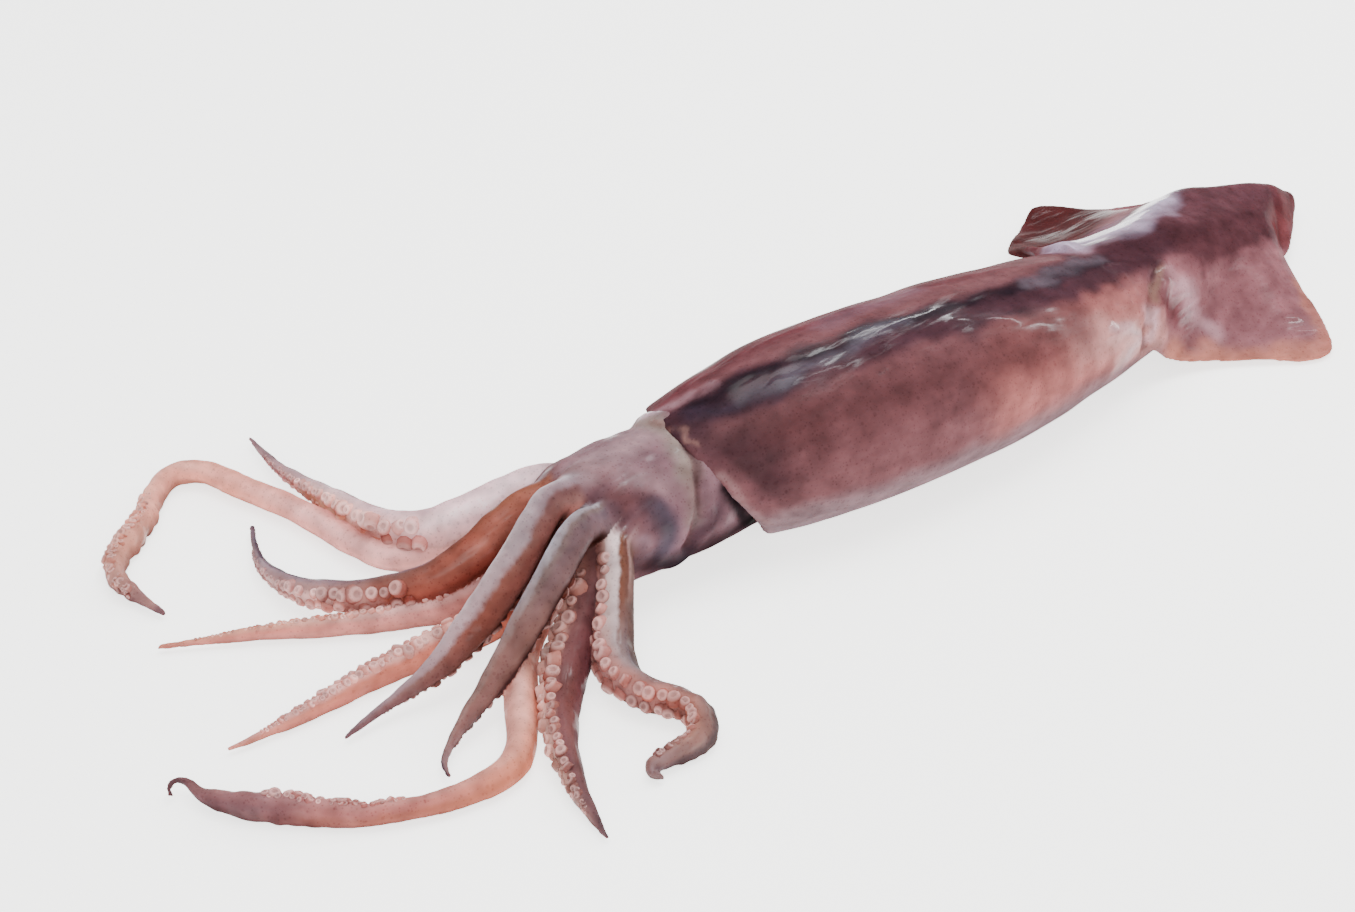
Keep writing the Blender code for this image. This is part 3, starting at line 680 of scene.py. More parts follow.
def addCup(bm, cup, size, lean, seat, skin, shade):
    # one more cup on its seat: the limb's colour, darker and redder at the foot and darkest in the pit as
    # painted shade, paler towards the rim
    before = len(bm.verts)
    bm.from_mesh(cup)
    bm.verts.ensure_lookup_table()
    fresh = bm.verts[before:]
    layer = bm.verts.layers.float_color["tint"]
    low = skin * linear(sucker["foot"])
    top = skin + (linear(sucker["rim"]) - skin) * sucker["rimShare"]
    for vert in fresh:
        high = ease(*sucker["rimHeight"], vert.co.z)
        pit = 1 - ease(*sucker["pitReach"], math.hypot(vert.co.x, vert.co.y))
        colour = (low + (top - low) * high) * (1 - sucker["pitShade"] * pit) * shade
        vert[layer] = (*np.clip(colour, darkest, 1), 1)
    turned = Vector((0, 0, 1)).rotation_difference(Vector(lean)).to_matrix().to_4x4()
    bmesh.ops.scale(bm, vec=[size * mm] * 3, verts=fresh)
    bmesh.ops.transform(bm, matrix=turned, verts=fresh)
    bmesh.ops.translate(bm, vec=Vector(seat) * mm, verts=fresh)


def buildSuckers(name, chosen, rows, size):
    cup = suckerCup()
    chance = np.random.default_rng(sucker["seed"])
    bm = bmesh.new()
    bm.verts.layers.float_color.new("tint")
    for key in chosen:
        limb = limbs[key]
        centre, radius, side, oral = limbFrames(limb)
        whole = (len(centre) - 1) * limbForm["step"]
        for r, (turn, scale) in enumerate(rows):
            # every other row starts half a pitch later
            at = whole * limb["suckers"][0] + (r % 2) * 0.5 * sucker["pitch"] * radius[0] * size
            while at < whole * limb["suckers"][1]:
                i = min(int(at / limbForm["step"]), len(centre) - 1)
                swell = np.clip(1 + sucker["sizeSpread"] * chance.normal(), *sucker["sizeLimits"])
                cupSize = max(radius[i] * size * scale * swell, sucker["smallest"])
                around = turn + limb["turn"] + sucker["turnSpread"] * chance.normal()
                angle = math.radians(90 - around)
                out = side[i] * math.cos(angle) + oral[i] * math.sin(angle)
                seat = centre[i] + out * (radius[i] * float(limbFactor(np.array(angle))) - sucker["sink"])
                uneven = 1 + sucker["pitchSpread"] * chance.normal()
                at += sucker["pitch"] * max(radius[i] * size, sucker["smallest"]) * uneven
                lean = unit(out + chance.normal(size=3) * sucker["leanSpread"])
                # none where it would be pressed into the table
                if seat[2] + out[2] * cupSize >= cupSize * sucker["clearance"]:
                    skin = limbColour(limb, np.array([around]), np.array([at / whole]))[0]
                    shade = 1 + sucker["shadeSpread"] * chance.normal()
                    addCup(bm, cup, cupSize, lean, seat, skin, shade)
    bpy.data.meshes.remove(cup)
    piece = toObject(name, bm)
    piece.data.shade_smooth()
    writeWet(piece, np.full(len(piece.data.vertices), sucker["wet"]))
    return piece


# Colours laid over the mantle and fin, and their fine form. A share is how much of a colour is laid on; a
# reach is where it starts and is full, by height, by the way the skin faces, across the tube or by x.
mantleLook = dict(
    ground="#664144", low="#755a5f", lowReach=(0.05, 0.5), lowShare=0.8,
    belly="#86737a", bellyReach=(0.1, 0.7), bellyShare=0.8,
    far="#54282e", farShadeReach=(0.1, 0.5), farShadeShare=0.85, fin="#7a4e53", finReach=(48, 66), finShare=0.85,
    inside="#1d1114", insideFacing=(0.2, 0.7), insideDepth=(0.5, 3), insideEnd=(-56, -44),
    hollowRounds=14, hollowReach=(0.05, 0.5), hollowShade=(0.45, 0.45, 0.45), underReach=(-0.1, 0.6),
    underShade=0.35, blotches=[(9, 0.07, 6, 1), (2.6, 0.12, 7, 0.3), (1.4, 0.08, 18, 1)],
    swell=[(14, 0.25, 1, 1), (3.2, 0.10, 2, 0.3)], wander=[(7, 1.3, 3, 1), (2.2, 0.7, 8, 0.3)], film=0.07,
    strokes=[
        # pinker towards the fin, lilac low on the flank
        stroke(19, 0.95, (2, -17, 24), (26, -13, 24), (44, -10, 21), colour="#9c5d59", strength=0.9),
        stroke(9, 0.95, (24, -13, 26), (36, -12, 21), (46, -10.5, 17), (54, -9, 13), colour="#b07c78",
               strength=0.85),
        stroke(9, 0.9, (-68, -6, 9), (-40, -14, 9), (-10, -18, 9), (20, -15, 8), (46, -8, 7),
               colour="#7e666a", strength=0.75),
        # darker belt below the stripe, darkest at the rim
        stroke(12, 0.95, (-60, -3, 30), (-30, -9, 31), (0, -11, 30), (26, -9, 28), colour="#4b2c2e",
               strength=0.8),
        stroke(9.5, 0.95, (-74, 4, 28), (-67, -2, 26), (-64, -6, 22), colour="#432a2f", strength=0.8),
        # blue-black stripe along the back
        stroke(8.5, 0.55, (-75, 13, 31), (-57, 8.5, 35.5), (-38, 3.8, 38), (-20, 2, 38.5), (0, 0, 37),
               (20, -0.5, 34.5), (40, 2.5, 31), (58, 5.5, 27.5), (74, 9.5, 25), colour="#3a242b",
               strength=0.95),
        stroke(3.6, 0.9, (-70, 14.5, 32.5), (-57, 11.5, 35.7), (-38, 6.5, 38.5), (-16, 4, 38.7),
               (10, 2, 36.3), (36, 3.5, 32), (54, 6.5, 29), colour="#1c141b", strength=0.9),
        stroke(4, 0.9, (-72, 12, 31.5), (-60, 7, 34.5), (-48, 3, 36.5), colour="#292431", strength=0.6),
        # painted grey sheen on the stripe
        stroke(3.6, 0.95, (-52, 5, 37), (-40, 4, 38.4), (-28, 4, 38.7), (-16, 3.5, 38.6),
               colour="#4a424c", strength=0.75),
        stroke(4, 0.95, (22, 3, 35), (36, 5, 32), (50, 7, 29.5), colour="#564a52", strength=0.7),
        # paler slope beyond the stripe
        stroke(6, 0.95, (-30, 15, 36.5), (-18, 15.8, 37.8), (-2, 15, 36.5), colour="#70505a",
               strength=0.6),
        # dark back of the fin, and its far side darker still as painted shade, darkest on the far lobe's
        # front behind the crest
        stroke(11, 0.8, (58, 6, 28), (72, 10, 25.5), (90, 14, 20), (110, 19, 14), (128, 22, 8),
               colour="#3b2228", strength=0.9),
        stroke(17, 0.75, (88, 22, 22), (102, 26, 19), (116, 26, 16), (128, 26, 12), (138, 26, 7),
               colour="#4e2f35", strength=0.95),
        stroke(17, 0.5, (58, 38, 16), (70, 44, 10), (86, 52, 6), (96, 62, 3), colour="#3c1818",
               strength=0.95),
        stroke(9.5, 0.7, (80, 5, 23), (92, 6, 20), (104, 9, 17), (116, 12, 13.5), (124, 14, 10.5),
               (131, 18, 8.5), colour="#3e2227", strength=0.9),
        stroke(5, 0.9, (120, 9, 4.5), (126, 12, 5), (132, 16, 6), colour="#6c3c40", strength=0.7),
        # painted pale sheen over the slope beyond the crest
        stroke(7.5, 0.95, (49, 16.5, 29.5), (59, 18, 27), (68, 17.5, 27), (77, 19, 26.3), (86, 22, 24.3),
               (96, 27, 20.5), colour="#aa98b0", strength=0.85),
        stroke(10, 0.95, (62, 24, 24), (74, 29, 20), (84, 33, 16), colour="#74586a", strength=0.5),
        # orange-pink margins of the near lobe
        stroke(8, 0.9, (62, -10, 5), (72, -15, 2.5), (84, -22, 1.5), (93, -28, 1.4), (99, -28.5, 1.4),
               colour="#a6685a", strength=0.9),
        stroke(5, 0.9, (99, -28, 1.5), (103, -22, 2), (109, -12, 3), (114, -5, 3.6), colour="#935a50",
               strength=0.85),
        stroke(9, 0.8, (125, 14, 6), (134, 21, 5.5), (142, 25, 4), colour="#5a2c2e", strength=0.85),
        stroke(12, 0.7, (119, 44, 5), (129, 37, 6.5), (137, 30, 6), (144, 27, 4), colour="#4c262a",
               strength=0.9),
        # painted highlight at the nick in the edge of the near lobe
        stroke(2.6, 0.8, (119.5, 7.5, 3.8), (121.5, 9, 4.2), colour="#c8b4b6", strength=0.9),
        # painted lilac shine, and painted shade along creases across the near lobe
        stroke(5.8, 0.95, (68, -2.5, 20.5), (71, -3.6, 17), (71.5, -4.6, 14), (75, -7, 10.4),
               (77, -9.8, 7.3), colour="#a8828a", strength=0.7),
        stroke(3, 0.95, (53, -7.9, 19.5), (54.6, -8.6, 17), (52.5, -9.6, 14), colour="#b8949c",
               strength=0.8),
        stroke(3.2, 0.95, (59.5, -5.8, 19.5), (63.2, -6.2, 16.5), (65.4, -6.2, 13), colour="#4a2024",
               strength=0.7),
        stroke(2.6, 0.95, (80.7, 0, 19), (79.3, -3.8, 15.3), (80, -6.4, 12.6), (82, -9.5, 10),
               colour="#3a1a20", strength=0.6),
        # pale folds where the near lobe leaves the body
        stroke(2.4, 0.9, (66, 0.6, 23.8), (60, -3, 23.3), (56.6, -5.8, 21), colour="#846759",
               strength=0.7),
        stroke(2.2, 0.9, (54, -8, 20), (53, -10, 15), (55, -10.5, 10), colour="#7e5c59", strength=0.6),
        # painted lilac sheen on the fold at the end of the mantle
        stroke(2.8, 0.9, (38, -11, 23), (44, -10.8, 20), (47, -11.2, 16.5), (43, -12.6, 13.5),
               colour="#a8868a", strength=0.7),
        # rust-coloured and pale flesh on the lip of the rim
        stroke(1.7, 0.95, (-77.8, 19, 30.3), (-77.2, 16, 30.5), (-77, 13.5, 30.5), colour="#84524a",
               strength=0.8),
        stroke(1.6, 0.95, (-76.9, 12.8, 30.4), (-75.8, 9.2, 30.4), (-74.9, 6.4, 29.8), colour="#7e5c56",
               strength=0.75),
        # painted pink-white sheen along the far end of the rim
        stroke(2.8, 0.95, (-76.5, 22.5, 28.8), (-73.4, 21.2, 30.3), (-69.5, 19.4, 31.8),
               (-62, 16.8, 33.8), colour="#8c6a72", strength=0.65),
        # painted highlight along the front corner of the rim
        stroke(2.2, 0.9, (-75, -1, 24), (-71, -6, 17), (-66, -8, 10), (-62, -8, 5), colour="#8a6a6b",
               strength=0.7)],
    # where the near lobe leaves the tube, smoothed over
    melt=stroke(7, 0.7, (74, -7, 6.5), (83, -3.2, 10.2), (89.3, -0.7, 12.5), (96.4, 2.3, 14.6),
                (106, 7, 14)),
    meltRounds=40, lowest=0,
    folds=[
        # step where the near lobe leaves the mantle's side
        stroke(2.8, 0.95, (68, 2, 25), (60, -2, 24), (54.5, -6, 21), (51, -9, 16.5), (51.5, -10.5, 11),
               (55, -10, 6), depth=-1.2, fade=0.2),
        stroke(3.4, 0.95, (66, -1, 23.5), (60, -5, 20), (57.5, -8, 15), (60, -9.5, 9), depth=0.7,
               fade=0.2),
        stroke(3, 0.95, (80.7, 0, 19), (79.3, -3.8, 15.3), (80, -6.4, 12.6), (82, -9.5, 10), depth=-0.35,
               fade=0.3),
        # folds that run to the corner of the near lobe
        stroke(1.4, 0.95, (93, -14, 7), (98.5, -15.6, 5), (103, -17, 4), depth=0.45, fade=0.3),
        stroke(1.3, 0.95, (92, -18.5, 5), (98, -20, 3.6), (103, -21.5, 2.6), depth=0.4, fade=0.3),
        stroke(2, 0.95, (112, -3, 5), (106, -4, 7), (100, -7, 9), depth=-0.5, fade=0.3),
        # low welts beside the stripe
        stroke(2.2, 0.95, (-48, 10, 37.6), (-35, 7.6, 38.7), (-20, 5, 38.8), (-5, 2.5, 38), depth=0.35,
               fade=0.1),
        stroke(1.8, 0.95, (-56, 7, 36), (-48, 3, 37), (-39, 0, 37.2), depth=0.3, fade=0.2),
        stroke(2, 0.95, (-9, 0, 37.8), (2, -4, 35.8), (12, -7, 33), depth=0.35, fade=0.2),
        stroke(3.5, 0.95, (36, -11, 24), (45, -10.8, 18), (50, -11, 13), depth=0.5, fade=0.25)],
    # where the water film is thick enough to shine
    shine=[
        stroke(5, 0.8, (-60, 9.5, 35), (-48, 5, 37), (-36, 2, 37.8), strength=0.8),
        stroke(4, 0.8, (-46, 11, 38), (-30, 6.5, 38.8), (-12, 4, 38.5), (-2, 1, 37.6), strength=0.8),
        stroke(4.8, 0.9, (-4, -1.5, 37), (6, -5, 35), (14, -7.2, 32.7), (20, -8, 31), strength=0.8),
        stroke(6, 0.8, (36, -11, 24), (45, -10.8, 18), (40, -13, 14), strength=0.8),
        stroke(5, 0.8, (64, -2.5, 22), (67, -4.5, 17), (70, -6, 12), strength=0.7),
        stroke(8, 0.7, (60, 18, 27.6), (70, 18.5, 26.6), (80, 21, 25.5), (90, 25, 22), (98, 29, 19),
               strength=1.0),
        stroke(4, 0.8, (97, -17, 5.5), (103, -20, 3.2), strength=0.7),
        # the side turned away
        stroke(7, 0.9, (-62, 30, 25), (-30, 28, 30), (5, 26, 29), (35, 24, 24), strength=0.6),
        stroke(8, 0.9, (80, 52, 8), (96, 52, 6), (112, 44, 7), strength=0.4)])


def paintMantle(body):
    look = mantleLook
    points = readPoints(body)
    melt(body, points, strokeMask(points, look["melt"]), look["meltRounds"])
    normals = readRows(body, "normal")
    sculpt(points, normals, look["folds"])
    points += normals * unevenness(points, look["swell"])[:, None]
    points[:, 2] = np.maximum(points[:, 2], look["lowest"])
    writePoints(body, points)
    x, y, z = points.T
    middle, half, height = mantleSection(x)
    tint = np.tile(linear(look["ground"]), (len(points), 1))
    layColour(tint, look["low"], look["lowShare"] * (1 - ease(*look["lowReach"], z / height)))
    belly = ease(*look["bellyReach"], -normals[:, 2])
    layColour(tint, look["belly"], look["bellyShare"] * belly)
    # painted shade: the far half of the tube darker
    far = ease(*look["farShadeReach"], (y - middle) / half)
    layColour(tint, look["far"], look["farShadeShare"] * far * (1 - belly))
    layColour(tint, look["fin"], look["finShare"] * ease(*look["finReach"], x) * (1 - belly))
    warped = wander(points, look["wander"])
    paint(tint, warped, look["strokes"])
    # painted shade inside the open rim, which slants back towards the belly
    rimX, _, _, rimHigh = mantle["stations"][0]
    depth = x - (rimX + mantle["setBack"] * (1 - z / rimHigh))
    inside = ease(*look["insideFacing"], -normals[:, 0]) * ease(*look["insideDepth"], depth)
    layColour(tint, look["inside"], inside * (1 - ease(*look["insideEnd"], x)))
    wet = wetness(warped, look["film"], look["shine"])
    finishSkin(body, points, normals, tint, wet, look)


# Colours and fine form of the head; the limbs bring their own colours, which drift round them by degrees
# and along them by shares of their length
headLook = dict(
    ground="#72535a", web="#5c3028", webShadeReach=(0.6, 2.2), limbReach=(0.05, 0.16), headEdge=(0.92, 1.12),
    hollowRounds=14, hollowReach=(0.08, 0.7), hollowShade=(0.36, 0.48, 0.5), underReach=(-0.1, 0.6),
    underShade=0.5, blotches=[(5, 0.12, 16, 1), (2, 0.10, 17, 1)],
    swell=[(6, 0.16, 11, 1), (2.4, 0.07, 12, 1)], wander=[(6, 0.9, 13, 1)],
    roundDrift=[(5, 7, 19, 1), (1.2, 4, 20, 1)], longDrift=[(4, 0.02, 22, 1)],
    film=0.07, filmPatches=[(5, 1, 23, 1)], patchReach=(0, 0.9), patchShare=0.4,
    # the crown between the limbs' roots, smoothed over
    melt=(-98, 8, 22), meltReach=(11.4, 19), meltRounds=22, lowest=0.02,
    strokes=[
        # pale top of the head, with painted shade along a furrow and a paler slope beside it
        stroke(9, 0.9, (-110, 14, 29), (-98, 15, 30.5), (-84, 16, 30.5), colour="#876c70", strength=0.9),
        stroke(7.5, 0.9, (-106, 6, 27), (-100, 2.6, 25.8), (-95, 0.5, 24), colour="#4a3035",
               strength=0.85),
        stroke(5.5, 0.95, (-95, 8, 29), (-91, 4.5, 28), (-88, 2, 26), colour="#7c6064", strength=0.75),
        # pale grey-green back band of the head
        stroke(5, 0.95, (-77, 22, 28), (-78.6, 10, 29.5), (-80.6, 4, 27.6), (-81.6, 2, 26.6),
               colour="#82746c", strength=0.85),
        stroke(4.2, 0.95, (-81, 1.6, 26.4), (-82.6, -0.7, 23.5), (-84.2, -2.8, 18), colour="#665450",
               strength=0.8),
        # blue patch over the eye
        stroke(6, 0.9, (-92.5, -1.5, 22), (-91.5, -3, 17), (-94, -3.2, 13), colour="#3a3642",
               strength=0.85),
        stroke(3.4, 0.9, (-97.5, -3, 17), (-99.5, -2.8, 12.5), colour="#8a7480", strength=0.75),
        stroke(6.5, 0.8, (-88, 27.5, 20), (-88, 29.8, 13), colour="#3c3844", strength=0.8),
        # neck, darker lower down as painted shade under the rim and under the head
        stroke(5.5, 0.8, (-72, 7, 29), (-76, -1.6, 23), (-78, -4, 15), colour="#6c5056", strength=0.85),
        stroke(5, 0.9, (-78, -3.6, 18), (-83, -3.7, 13), (-88, -3, 9), colour="#352229", strength=0.85),
        stroke(7, 0.9, (-62, -2, 20), (-65, -4.5, 12), (-73, -4.2, 8), (-84, -3, 6), colour="#1a0f14",
               strength=0.95),
        stroke(6, 0.9, (-84, -3, 6), (-92, -3, 9), (-99, -1.5, 13), colour="#20151d", strength=0.9),
        # shadow under the rim
        stroke(3.6, 0.8, (-74.6, -3, 22), (-72.9, -4, 18.7), (-71.3, -4.5, 15.5), (-69.3, -4, 12.5),
               (-66.5, -3.3, 9.5), colour="#120a0e", strength=0.97),
        # painted shade along the groove between head and neck
        stroke(1.8, 0.85, (-76, 12, 29.5), (-78, 5, 27.5), (-81, -0.5, 23), (-83.5, -3, 17.5),
               (-86, -3, 12), colour="#483234", strength=0.75),
        # rust-coloured tissue under the rim, and beside it a pale patch of painted sheen
        stroke(1.7, 0.95, (-77.5, 19, 30), (-77, 15, 30.6), (-76, 11, 30.5), (-75, 8, 30),
               colour="#70504a", strength=0.7),
        stroke(3, 0.95, (-76, 23, 29), (-73, 21.5, 30.5), colour="#b494a0", strength=0.8)],
    folds=[
        # groove between head and neck, and the folds of skin beside it
        stroke(2.4, 0.95, (-75, 24, 26), (-76, 12, 29.5), (-78, 5, 27.5), (-81, -0.5, 23),
               (-83.5, -3, 17.5), (-86, -3, 12), depth=-1.1),
        stroke(2, 0.95, (-77, 2, 26.6), (-78.6, -1.8, 22), (-80, -3.8, 16.5), (-81, -4, 12), depth=0.8,
               fade=0.2),
        stroke(1.6, 0.95, (-74.8, -2.4, 22), (-76, -4, 17), (-77, -4.2, 12), depth=0.5, fade=0.3),
        # furrows that run from the arms up the head
        stroke(2.4, 0.95, (-112, 4, 27), (-104, 6.5, 26.5), (-96, 8, 27.5), (-88, 9, 29), depth=-1.0,
               fade=0.25),
        stroke(2.0, 0.95, (-108, -3.5, 22), (-102, -0.5, 23), (-95, 1.5, 24.5), (-88, 3, 26), depth=-0.8,
               fade=0.3),
        stroke(2.4, 0.95, (-112, 17, 26.5), (-104, 18.5, 27), (-94, 18, 28.5), depth=-0.8, fade=0.3),
        # the neck dips under the far end of the rim
        stroke(3.2, 0.95, (-73, 26, 27), (-71.5, 22, 30.4), (-70, 17, 31.5), (-70, 12, 31.5), depth=-1.2),
        # lumps of tissue under the rim
        stroke(1.4, 0.95, (-77.5, 18.5, 30), (-77, 15.5, 30.6), depth=0.5),
        stroke(1.3, 0.95, (-76.4, 11, 30.5), (-75.4, 8, 30.2), depth=0.4)],
    # where the water film is thick enough to shine
    shine=[
        stroke(3, 0.9, (-118, 19, 20.5), (-127, 19.5, 15), (-135, 22, 10.5), strength=0.7),
        stroke(4, 0.8, (-75, 23, 29), (-72, 21, 30.5), strength=0.9)])


def headReach(points):
    # place beside the head and neck as a share of their size, 1 at the skin
    rows = evenly(head["stations"], head["rows"])[::-1]
    y, z, half, high = [np.interp(points[:, 0], rows[:, 0], rows[:, k]) for k in (1, 2, 3, 4)]
    share = np.hypot((points[:, 1] - y) / half, (points[:, 2] - z) / high)
    return share + np.maximum(head["end"] - points[:, 0], 0) / head["endFade"]


def nearestLimb(points):
    # distance outside the nearest limb, its place in the list, the share of its length and the turn
    # round it in degrees from its sucker side
    nearby = 8
    nearest = np.full(len(points), 1e9)
    share, turn = np.zeros(len(points)), np.zeros(len(points))
    which = np.full(len(points), -1)
    for number, limb in enumerate(limbs.values()):
        centre, radius, side, oral = limbFrames(limb)
        low, high = centre.min(0) - nearby, centre.max(0) + nearby
        chosen = np.nonzero(((points > low) & (points < high)).all(1))[0]
        part = points[chosen]
        best = np.full(len(part), 1e9)
        at = np.zeros(len(part), int)
        for i in range(len(centre)):
            reach = np.linalg.norm(part - centre[i], axis=1) - radius[i]
            closer = reach < best
            best[closer] = reach[closer]
            at[closer] = i
        offset = part - centre[at]
        across, out = (offset * side[at]).sum(1), (offset * oral[at]).sum(1)
        wins = best < nearest[chosen]
        spots = chosen[wins]
        nearest[spots] = best[wins]
        which[spots] = number
        share[spots] = at[wins] / (len(centre) - 1)
        turn[spots] = np.degrees(np.arctan2(across, out))[wins]
    return nearest, which, share, turn


def lumpHeights(which, share):
    # height of the lumps on the clubs and the curled arm, easing in and out along the limb
    easing = 0.04
    lumps = np.zeros(len(share))
    for number, limb in enumerate(limbs.values()):
        if "lumps" in limb:
            start, end, high = limb["lumps"]
            risen = ease(start, start + easing, share) * (1 - ease(end - easing, end, share))
            lumps += high * risen * (which == number)
    return lumps


def paintHead(body):
    look = headLook
    points = readPoints(body)
    crownReach = np.linalg.norm(points - look["melt"], axis=1)
    melt(body, points, 1 - ease(*look["meltReach"], crownReach), look["meltRounds"])
    normals = readRows(body, "normal")
    nearest, which, share, turn = nearestLimb(points)
    sculpt(points, normals, look["folds"])
    broad, (size, amount, seed, along) = look["swell"]
    lumpy = (size, amount + lumpHeights(which, share), seed, along)
    points += normals * unevenness(points, [broad, lumpy])[:, None]
    points[:, 2] = np.maximum(points[:, 2], look["lowest"])
    writePoints(body, points)
    skin = np.tile(linear(look["ground"]), (len(points), 1))
    warped = wander(points, look["wander"])
    paint(skin, warped, look["strokes"])
    limbTint = skin.copy()
    uneven = turn + unevenness(points, look["roundDrift"])
    drift = np.clip(share + unevenness(points, look["longDrift"]), 0, 1)
    for number, limb in enumerate(limbs.values()):
        here = which == number
        limbTint[here] = limbColour(limb, uneven[here], drift[here])
    # painted shade: darker brown where the skin lies between the limbs rather than on them
    layColour(limbTint, look["web"], ease(*look["webShadeReach"], nearest))
    onLimb = ease(*look["limbReach"], share) * ease(*look["headEdge"], headReach(points)) * (which >= 0)
    tint = skin + (limbTint - skin) * onLimb[:, None]
    patches = ease(*look["patchReach"], unevenness(points, look["filmPatches"]))
    wet = wetness(warped, look["film"], look["shine"]) + look["patchShare"] * patches
    finishSkin(body, points, normals, tint, wet, look)


def addNode(tree, kind, settings=None, links=None):
    # links: input name or number to the socket that feeds it
    node = tree.nodes.new(kind)
    for key, value in (settings or {}).items():
        if key in node.inputs.keys():
            node.inputs[key].default_value = value
        else:
            setattr(node, key, value)
    for key, socket in (links or {}).items():
        tree.links.new(socket, node.inputs[key])
    return node


# Wet squid skin: soft translucent flesh, so light bleeds a little, with pigment dots in it, under a clear
# film of water that gives broken highlights. Dots: the size of a cell, strength and largest share of the
# cell; wrinkles: size and bump strength. A draw is how much of its width a pattern keeps along the body.
skinLook = dict(
    dots=[(0.7, 0.30, 0.42), (1.7, 0.24, 0.34)], dotSmallest=0.05, dotEdge=0.12, dotColour="#9e818b",
    mottleSize=6, mottle=(0.78, 1.2), roughness=(0.34, 0.52), noiseSpan=(0.3, 0.7),
    wrinkles=[(1.3, 0.25), (4.5, 0.5)], wrinkleDraw=0.4, filmSize=5, filmDepth=0.55, filmDraw=0.22,
    bumpShare=0.25, subsurface=0.12, bleed=(1.0, 0.36, 0.26), bleedDepth=2, ior=1.4, specular=0.0,
    filmRoughness=0.16, filmIor=1.34)


def wetSkin(name, look):
    material = bpy.data.materials.new(name)
    material.use_nodes = True
    tree = material.node_tree
    tree.nodes.clear()
    place = addNode(tree, "ShaderNodeTexCoord").outputs["Object"]
    colour = addNode(tree, "ShaderNodeAttribute", dict(attribute_name="tint")).outputs["Color"]
    wet = addNode(tree, "ShaderNodeAttribute", dict(attribute_name="wet")).outputs["Fac"]
    multiply = dict(data_type="RGBA", blend_type="MULTIPLY")
    span = {"From Min": look["noiseSpan"][0], "From Max": look["noiseSpan"][1]}
    # pigment dots of uneven size, fine ones and a few larger
    for cell, strength, largest in look["dots"]:
        dots = addNode(tree, "ShaderNodeTexVoronoi", {"Scale": 1 / (cell * mm)}, {"Vector": place})
        chance = addNode(tree, "ShaderNodeSeparateColor", links={"Color": dots.outputs["Color"]})
        edge = addNode(tree, "ShaderNodeMapRange", {"To Min": look["dotSmallest"], "To Max": largest},
                       {"Value": chance.outputs["Red"]})
        near = addNode(tree, "ShaderNodeMath", dict(operation="SUBTRACT"),
                       {0: edge.outputs["Result"], 1: dots.outputs["Distance"]})
        amount = addNode(tree, "ShaderNodeMapRange", {"From Max": look["dotEdge"], "To Max": strength},
                         {"Value": near.outputs[0]})
        dark = addNode(tree, "ShaderNodeMix", multiply, {"Factor": amount.outputs["Result"], 6: colour})
        dark.inputs[7].default_value = (*linear(look["dotColour"]), 1)
        colour = dark.outputs[2]
    mottle = addNode(tree, "ShaderNodeTexNoise", {"Scale": 1 / (look["mottleSize"] * mm), "Detail": 6.0},
                     {"Vector": place})
    tone = addNode(tree, "ShaderNodeMapRange",
                   {**span, "To Min": look["mottle"][0], "To Max": look["mottle"][1]},
                   {"Value": mottle.outputs["Fac"]})
    gloss = addNode(tree, "ShaderNodeMapRange",
                    {**span, "To Min": look["roughness"][0], "To Max": look["roughness"][1]},
                    {"Value": mottle.outputs["Fac"]})
    shade = addNode(tree, "ShaderNodeMix", multiply, {6: colour, 7: tone.outputs["Result"]})
    shade.inputs[0].default_value = 1.0
    # fine wrinkles that run along the body, and broader unevenness
    drawn = addNode(tree, "ShaderNodeMapping", {"Scale": (look["wrinkleDraw"], 1.0, 1.0)},
                    {"Vector": place})
    normal = None
    for size, depth in look["wrinkles"]:
        wrinkles = addNode(tree, "ShaderNodeTexNoise", {"Scale": 1 / (size * mm), "Detail": 3.0},
                           {"Vector": drawn.outputs["Vector"]})
        bump = addNode(tree, "ShaderNodeBump",
                       {"Strength": depth, "Distance": size * look["bumpShare"] * mm},
                       {"Height": wrinkles.outputs["Fac"]})
        if normal:
            tree.links.new(normal, bump.inputs["Normal"])
        normal = bump.outputs["Normal"]
    # the film lies smoother than the skin, in long ripples
    long = addNode(tree, "ShaderNodeMapping", {"Scale": (look["filmDraw"], 1.0, 1.0)}, {"Vector": place})
    ripples = addNode(tree, "ShaderNodeTexNoise", {"Scale": 1 / (look["filmSize"] * mm), "Detail": 2.0},
                      {"Vector": long.outputs["Vector"]})
    film = addNode(tree, "ShaderNodeBump",
                   {"Strength": look["filmDepth"], "Distance": look["filmSize"] * look["bumpShare"] * mm},
                   {"Height": ripples.outputs["Fac"]})
    skin = addNode(tree, "ShaderNodeBsdfPrincipled", {
        "Subsurface Weight": look["subsurface"], "Subsurface Radius": look["bleed"],
        "Subsurface Scale": look["bleedDepth"] * mm, "IOR": look["ior"],
        "Specular IOR Level": look["specular"], "Coat Roughness": look["filmRoughness"],
        "Coat IOR": look["filmIor"]}, {
        "Base Color": shade.outputs[2], "Roughness": gloss.outputs["Result"], "Normal": normal,
        "Coat Weight": wet, "Coat Normal": film.outputs["Normal"]})
    addNode(tree, "ShaderNodeOutputMaterial", links={"Surface": skin.outputs["BSDF"]})
    return material


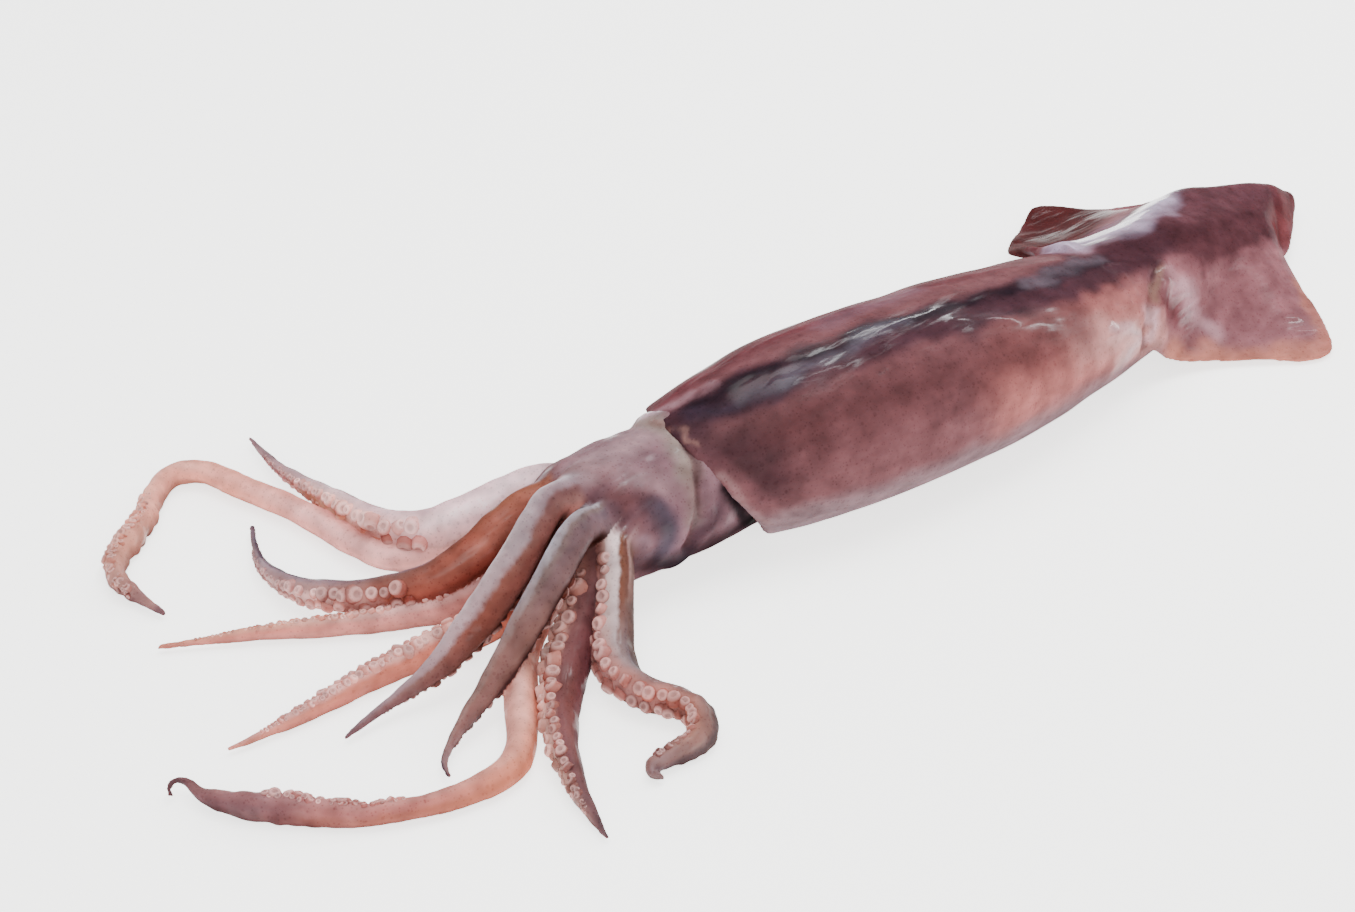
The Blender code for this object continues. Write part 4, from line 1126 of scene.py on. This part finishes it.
mantleSkin = fuse("mantleSkin", [buildMantle(), buildFin()], mantle["voxel"], mantle["relaxing"])
print("mantle and fin", len(mantleSkin.data.vertices))
paintMantle(mantleSkin)
parts = [buildHead()]
parts += [buildSwelling(name, *form) for name, form in head["swellings"].items()]
parts += [buildLimb(name, limb) for name, limb in limbs.items()]
headSkin = fuse("headSkin", parts, head["voxel"], head["relaxing"])
print("head and limbs", len(headSkin.data.vertices))
paintHead(headSkin)
armKeys = [key for key in limbs if "Tentacle" not in key]
clubKeys = [key for key in limbs if "Tentacle" in key]
armSuckers = buildSuckers("armSuckers", armKeys, sucker["armRows"], sucker["armSize"])
clubSuckers = buildSuckers("clubSuckers", clubKeys, sucker["clubRows"], sucker["clubSize"])
print("suckers", len(armSuckers.data.polygons), len(clubSuckers.data.polygons))

wetSquidSkin = wetSkin("wetSquidSkin", skinLook)
for piece in (mantleSkin, headSkin, armSuckers, clubSuckers):
    piece.data.materials.clear()
    piece.data.materials.append(wetSquidSkin)
    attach(piece, "root")
    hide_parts("squid")

# Table top of pale satin acrylic, softly lit from below, which keeps shadows light
table = dict(size=2400, colour="#f0f0ee", roughness=0.7, glow=2.5)
bm = bmesh.new()
bmesh.ops.create_grid(bm, x_segments=1, y_segments=1, size=table["size"] * mm / 2)
floor = toObject("tableTop", bm)
paleAcrylic = bpy.data.materials.new("paleAcrylic")
paleAcrylic.use_nodes = True
acrylic = paleAcrylic.node_tree.nodes["Principled BSDF"]
acrylic.inputs["Base Color"].default_value = (*linear(table["colour"]), 1)
acrylic.inputs["Roughness"].default_value = table["roughness"]
acrylic.inputs["Emission Color"].default_value = (*linear(table["colour"]), 1)
acrylic.inputs["Emission Strength"].default_value = table["glow"]
floor.data.materials.append(paleAcrylic)

# Soft studio light: place, aim, the way its long side runs, its size, its power in watts and its colour
lights = dict(
    strip=dict(
        place=(420, 255, 720), aim=(-10, 5, 30), along=(-0.49, -0.66, 0.57), size=(1300, 45),
        power=5.0, colour=(0.97, 0.98, 1.0)),
    side=dict(
        place=(700, -130, 470), aim=(20, -5, 25), along=(0.33, -0.67, -0.68), size=(620, 70),
        power=3.6, colour=(1.0, 0.98, 1.0)),
    fill=dict(
        place=(-500, -600, 500), aim=(-40, 10, 0), along=(1, -1, 0), size=(700, 500),
        power=5.0, colour=(1.0, 0.97, 0.95)),
    top=dict(
        place=(-60, 140, 900), aim=(-60, 20, 0), along=(1, 0, 0), size=(900, 900),
        power=8.6, colour=(1.0, 1.0, 1.0)))
room = dict(colour=(0.95, 0.97, 1.0, 1), strength=0.6)


def addToScene(name, data, spot, rotation):
    made = bpy.data.objects.new(name, data)
    bpy.context.scene.collection.objects.link(made)
    made.location = Vector(spot) * mm
    made.rotation_euler = rotation.to_euler()
    return made


for name, light in lights.items():
    lamp = bpy.data.lights.new(name, "AREA")
    lamp.shape = "RECTANGLE"
    lamp.size, lamp.size_y = light["size"][0] * mm, light["size"][1] * mm
    lamp.energy = light["power"]
    lamp.color = light["colour"]
    back = (Vector(light["place"]) - Vector(light["aim"])).normalized()
    across = Vector(light["along"])
    across = (across - back * across.dot(back)).normalized()
    addToScene(name, lamp, light["place"], Matrix((across, back.cross(across), back)).transposed())
world = bpy.data.worlds.new("softRoom")
world.use_nodes = True
background = world.node_tree.nodes["Background"]
background.inputs["Color"].default_value = room["colour"]
background.inputs["Strength"].default_value = room["strength"]
bpy.context.scene.world = world

# Camera at the photo's angle: looking along the table from the arms' side
view = dict(place=(-453.8, -438.2, 405.2), aim=(-52.73, 39.77, 0), lens=85, sensor=36)
camera = bpy.data.cameras.new("camera")
camera.lens = view["lens"]
camera.sensor_width = view["sensor"]
looking = (Vector(view["aim"]) - Vector(view["place"])).to_track_quat("-Z", "Y")
bpy.context.scene.camera = addToScene("camera", camera, view["place"], looking)
print("table, lamps and camera")
